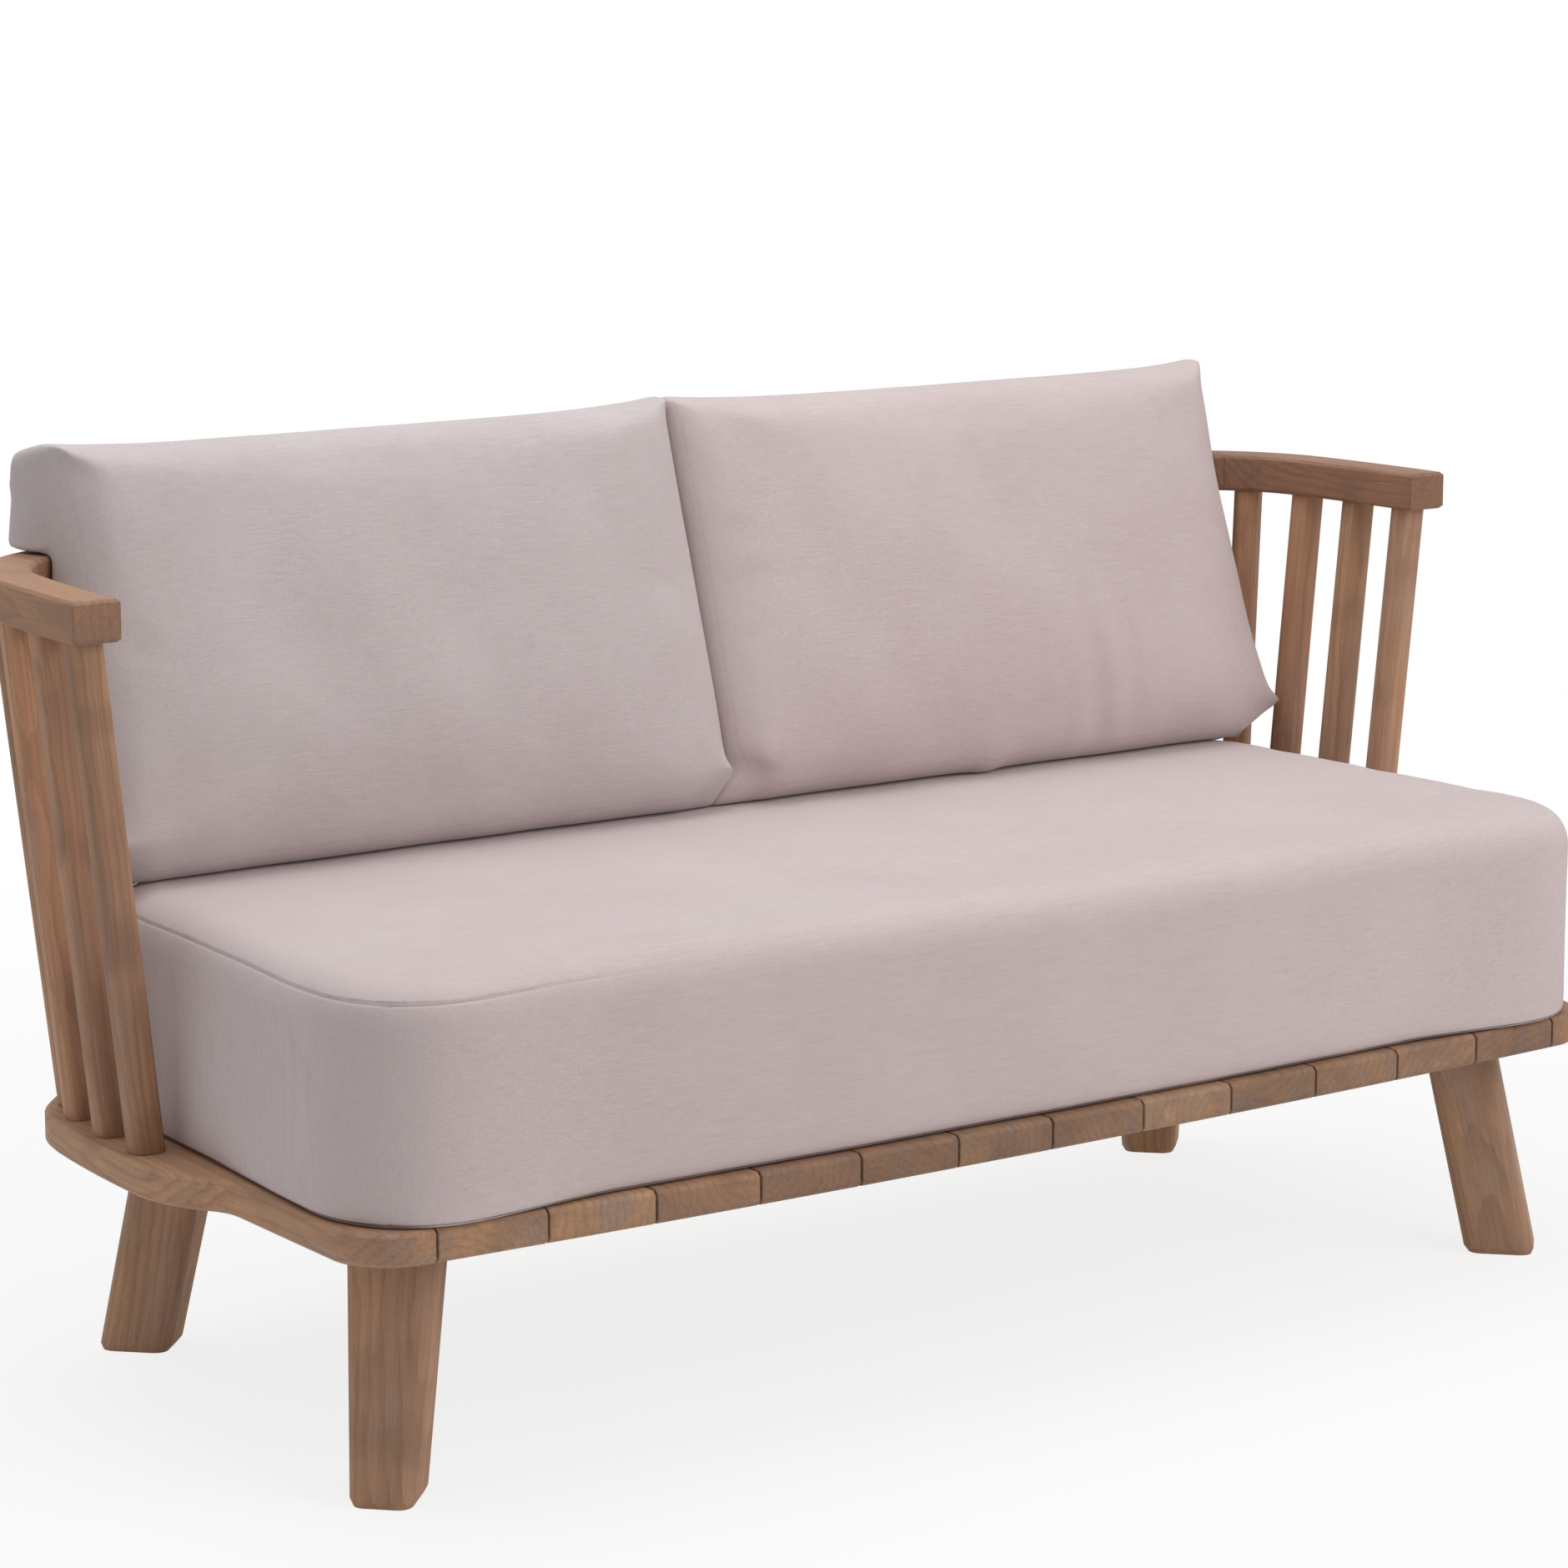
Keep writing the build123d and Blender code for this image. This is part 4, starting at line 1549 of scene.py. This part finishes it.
    def eared(self, points: np.ndarray, start: np.ndarray) -> np.ndarray:
        """Lift the lower corners up the face and push them out sideways.

        Args:
            points: Places of the points.
            start: Their places in the cushion's own frame before.

        Returns:
            Their places after.
        """
        x, y, z = start.T
        near_side = smooth_share((np.abs(x) - self.width / 2 + self.ear_reach) / self.ear_reach)
        near_foot = smooth_share((-y - self.height / 2 + self.ear_reach) / self.ear_reach)
        depth = 2 * z / self.thickness
        lifted = np.where(x > 0, smooth_share(depth), smooth_share(depth - 1))
        ear = near_side * near_foot * lifted
        moved = points + np.outer(ear * self.ear_lift, np.array(self.up))
        moved[:, 0] += self.side * ear * np.where(x > 0, self.ear_push, -self.inner_push)
        return moved

    def unevenness(self, start: np.ndarray, ahead: np.ndarray) -> np.ndarray:
        """Rumples, deeper towards the foot, gathers that fan out from the corners, and folds.

        Args:
            start: Places of the points in the cushion's own frame before.
            ahead: 1 on the front face, 0 on the rear one.

        Returns:
            How far each point moves out of the face.
        """
        shift = np.zeros(len(start))
        half_w, half_h = self.width / 2, self.height / 2
        for i in np.nonzero(ahead > self.smooth_rear_share)[0]:
            x, y, _ = start[i]
            foot = smooth_share(np.array(0.5 - y / self.height))
            low = self.head_rumple_share + (1 - self.head_rumple_share) * foot
            wide, high = self.rumple_size, self.rumple_stretch * self.rumple_size
            at = Vector((x / wide, y / high, self.rumple_seed * self.side))
            shift[i] = self.rumple * low * noise.noise(at)
            gap_x, gap_y = half_w - abs(x), half_h - abs(y)
            away = math.hypot(gap_x, gap_y) / self.gather_reach
            turn = math.atan2(gap_y, gap_x) * self.gather_turns
            corner = np.dot(CORNER_SEEDS, (np.sign(x), np.sign(y), self.side))
            fan = noise.noise(Vector((turn, corner, away)))
            shift[i] += self.gather * fan * math.exp(-away * away) * min(away * self.gather_rise, 1.0)
        return (shift + self.folds(start)) * ahead

    def folds(self, start: np.ndarray) -> np.ndarray:
        """Soft upright folds over the lower part of the face.

        Args:
            start: Places of the points in the cushion's own frame before.

        Returns:
            How far each point moves out of the face.
        """
        x, y, _ = start.T
        fading = np.exp(-(((x - self.fold_at) / self.fold_reach) ** 2))
        wave = np.sin(2 * math.pi * x / self.fold_width + y * self.fold_slant) * fading
        below = smooth_share((-self.fold_below - y) / self.fold_head_reach)
        off_foot = smooth_share((y + self.height / 2) / self.fold_foot_reach)
        return self.fold * wave * below * off_foot

    def set_down(self, points: np.ndarray, start: np.ndarray) -> np.ndarray:
        """Let the lower edge sag onto the seat all along.

        Args:
            points: Places of the points.
            start: Their places in the cushion's own frame before.

        Returns:
            Their places after.
        """
        seat = self.seat_heights(points)
        columns = np.round(start[:, 0] / self.cell).astype(int)
        ahead = start[:, 2] > self.thickness * self.front_from_share
        foot = start[:, 1] < -self.height / 2 + self.shrink + self.seat_cells * self.cell
        chosen = foot & ahead & np.isfinite(seat)
        lowest = even_least(points[:, 2] - seat, columns - columns.min(), chosen)
        sag = 1 - smooth_share((start[:, 1] + self.height / 2) / self.sag_reach)
        moved = points.copy()
        moved[:, 2] -= (lowest - self.seat_gap) * sag
        moved[:, 2] = np.fmax(moved[:, 2], self.seat_heights(moved) + self.seat_gap)
        return moved

    def meet_middle(self, points: np.ndarray, start: np.ndarray) -> np.ndarray:
        """Let the inner side touch the other cushion all the way up.

        Args:
            points: Places of the points.
            start: Their places in the cushion's own frame before.

        Returns:
            Their places after.
        """
        rows = np.round(start[:, 1] / self.cell).astype(int)
        nearest = even_least(self.side * points[:, 0], rows - rows.min(), start[:, 0] < 0)
        beside = 1 - smooth_share((start[:, 0] + self.width / 2) / self.side_reach)
        moved = points.copy()
        moved[:, 0] -= self.side * (nearest - self.middle_press) * beside
        return moved

    def build_filling(self) -> bpy.types.Object:
        """Lean the foam block back with its cover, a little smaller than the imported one.

        Returns:
            The finished piece.
        """
        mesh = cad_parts[f"{self.node}_core"].data.copy()
        mesh.name = f"{self.node}_foam"
        points = coordinates(mesh)
        middle = (points.max(axis=0) + points.min(axis=0)) / 2
        points = middle + (points - middle) * self.filling_share
        turn = self.lean - self.solid_lean
        hinge = np.array(self.hinge)
        away = points - hinge
        points[:, 1] = hinge[1] + away[:, 1] * math.cos(turn) + away[:, 2] * math.sin(turn)
        points[:, 2] = hinge[2] + away[:, 2] * math.cos(turn) - away[:, 1] * math.sin(turn)
        set_coordinates(mesh, points)
        piece = added(f"{self.node}_foam", mesh)
        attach(piece, self.node)
        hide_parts(f"{self.node}_core")
        log.info("made %s", piece.name)
        return piece

    def seat_heights(self, points: np.ndarray) -> np.ndarray:
        """Height of the seat cushion's top under each point.

        Args:
            points: Places of the points.

        Returns:
            The heights, not a number where a point has no seat under it.
        """
        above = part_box("back_rail")[1].z
        heights = np.full(len(points), np.nan)
        for i in np.nonzero(points[:, 2] < above)[0]:
            x = np.clip(points[i, 0], -self.seat_level_to, self.seat_level_to)
            start = Vector((x, points[i, 1], above))
            hit = self.seat.ray_cast(start, Vector((0.0, 0.0, -1.0)))[0]
            if hit:
                heights[i] = hit.z
        return heights

    def grain_axes(self) -> tuple[Vector, Vector]:
        """Up the slope and out of the face."""
        return self.up, self.front


@dataclass(frozen=True)
class Lamp:
    """A soft square lamp that faces the seat."""

    name: str
    place: tuple[float, float, float]
    size: float
    power: float
    colour: Colour
    faces: tuple[float, float, float] = (0.0, 0.0, 0.4)

    def hang(self) -> None:
        """Hang the lamp in its place."""
        data = bpy.data.lights.new(self.name, "AREA")
        data.size = self.size
        data.energy = self.power
        data.color = self.colour
        lamp = added(self.name, data)
        lamp.location = self.place
        towards = Vector(self.faces) - Vector(self.place)
        lamp.rotation_euler = towards.to_track_quat("-Z", "Y").to_euler()


KEY_LIGHT = Lamp("key_light", place=(1.7, -2.9, 2.7), size=2.6, power=57.0, colour=(1.0, 0.935, 0.92))
TOP_LIGHT = Lamp("top_light", place=(-0.4, 0.5, 3.6), size=3.0, power=68.0, colour=(0.95, 1.0, 1.0))


@dataclass
class Studio:
    """Floor, lights and the camera at the photograph's angle."""

    camera_place: tuple[float, float, float] = (-2.6110, -3.5863, 1.3437)
    camera_yaw: float = math.radians(-35.54)
    camera_dip: float = math.radians(10.69)
    lens: float = 108.6
    sensor: float = 36.0
    floor_half: float = 30.0
    world_strength: float = 0.385
    lamps: tuple[Lamp, ...] = (KEY_LIGHT, TOP_LIGHT)

    def build(self) -> None:
        """Make the whole studio."""
        self.place_camera()
        self.lay_floor()
        self.light()

    def place_camera(self) -> None:
        """Set the camera where the photograph was taken from."""
        data = bpy.data.cameras.new("camera")
        data.lens = self.lens
        data.sensor_width = self.sensor
        camera = added("camera", data)
        camera.location = self.camera_place
        camera.rotation_euler = (math.pi / 2 - self.camera_dip, 0.0, self.camera_yaw)
        bpy.context.scene.camera = camera

    def lay_floor(self) -> None:
        """Lay a wide flat floor."""
        mesh = bpy.data.meshes.new("floor")
        shape = bmesh.new()
        half = self.floor_half
        corners = [(-half, -half), (half, -half), (half, half), (-half, half)]
        shape.faces.new([shape.verts.new((x, y, 0.0)) for x, y in corners])
        shape.to_mesh(mesh)
        shape.free()
        mesh.materials.append(StudioFloor().material())
        added("floor", mesh)

    def light(self) -> None:
        """Light the studio with a pale sky and two soft lamps."""
        shader = Shader("studio", sky=True)
        glow, white = (
            shader.node("ShaderNodeBackground", {}, {"Color": WHITE, "Strength": strength})
            for strength in (self.world_strength, 1.0)
        )
        layers: Inputs = {0: shader.seen(), 1: glow.outputs[0], 2: white.outputs[0]}
        blend = shader.node("ShaderNodeMixShader", {}, layers)
        shader.node("ShaderNodeOutputWorld", {}, {"Surface": blend.outputs[0]})
        bpy.context.scene.world = shader.material
        for lamp in self.lamps:
            lamp.hang()


def dress_hidden() -> None:
    """Finish the pieces that hardly show: fillings, screws and bolts."""
    foam, steel = Foam().material(), Steel().material()
    for name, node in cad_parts.items():
        if name.endswith("_core"):
            cover_with(node, foam)
        elif name in FIXINGS:
            cover_with(node, steel)


def main() -> None:
    """Build the sofa's looks in order."""
    logging.basicConfig(level=logging.INFO)
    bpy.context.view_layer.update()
    bpy.context.scene.view_settings.view_transform = "Standard"
    Timber().dress()
    dress_hidden()
    for side in ("left", "right"):
        Leg(f"leg_front_{side}", inward=1.0).build()
        Leg(f"leg_rear_{side}", inward=0.35).build()
    seat = search_tree(evaluated_mesh(SeatCushion().build()))
    fence = Fence()
    greyer = WovenFabric(
        seam=0.15,
        colour=(0.590, 0.515, 0.512),
        pale_yarn=(0.690, 0.630, 0.628),
        dark_yarn=(0.455, 0.385, 0.378),
    )
    left = BackCushion(node="back_cushion_left", side=-1, seat=seat, fence=fence, finish=greyer)
    right = BackCushion(
        node="back_cushion_right",
        side=1,
        seat=seat,
        fence=fence,
        spread=0.014,
        inner_push=-0.026,
        fold=0.0048,
    )
    for cushion in (left, right):
        cushion.build()
        cushion.build_filling()
    Studio().build()


if __name__ == "__main__":
    main()
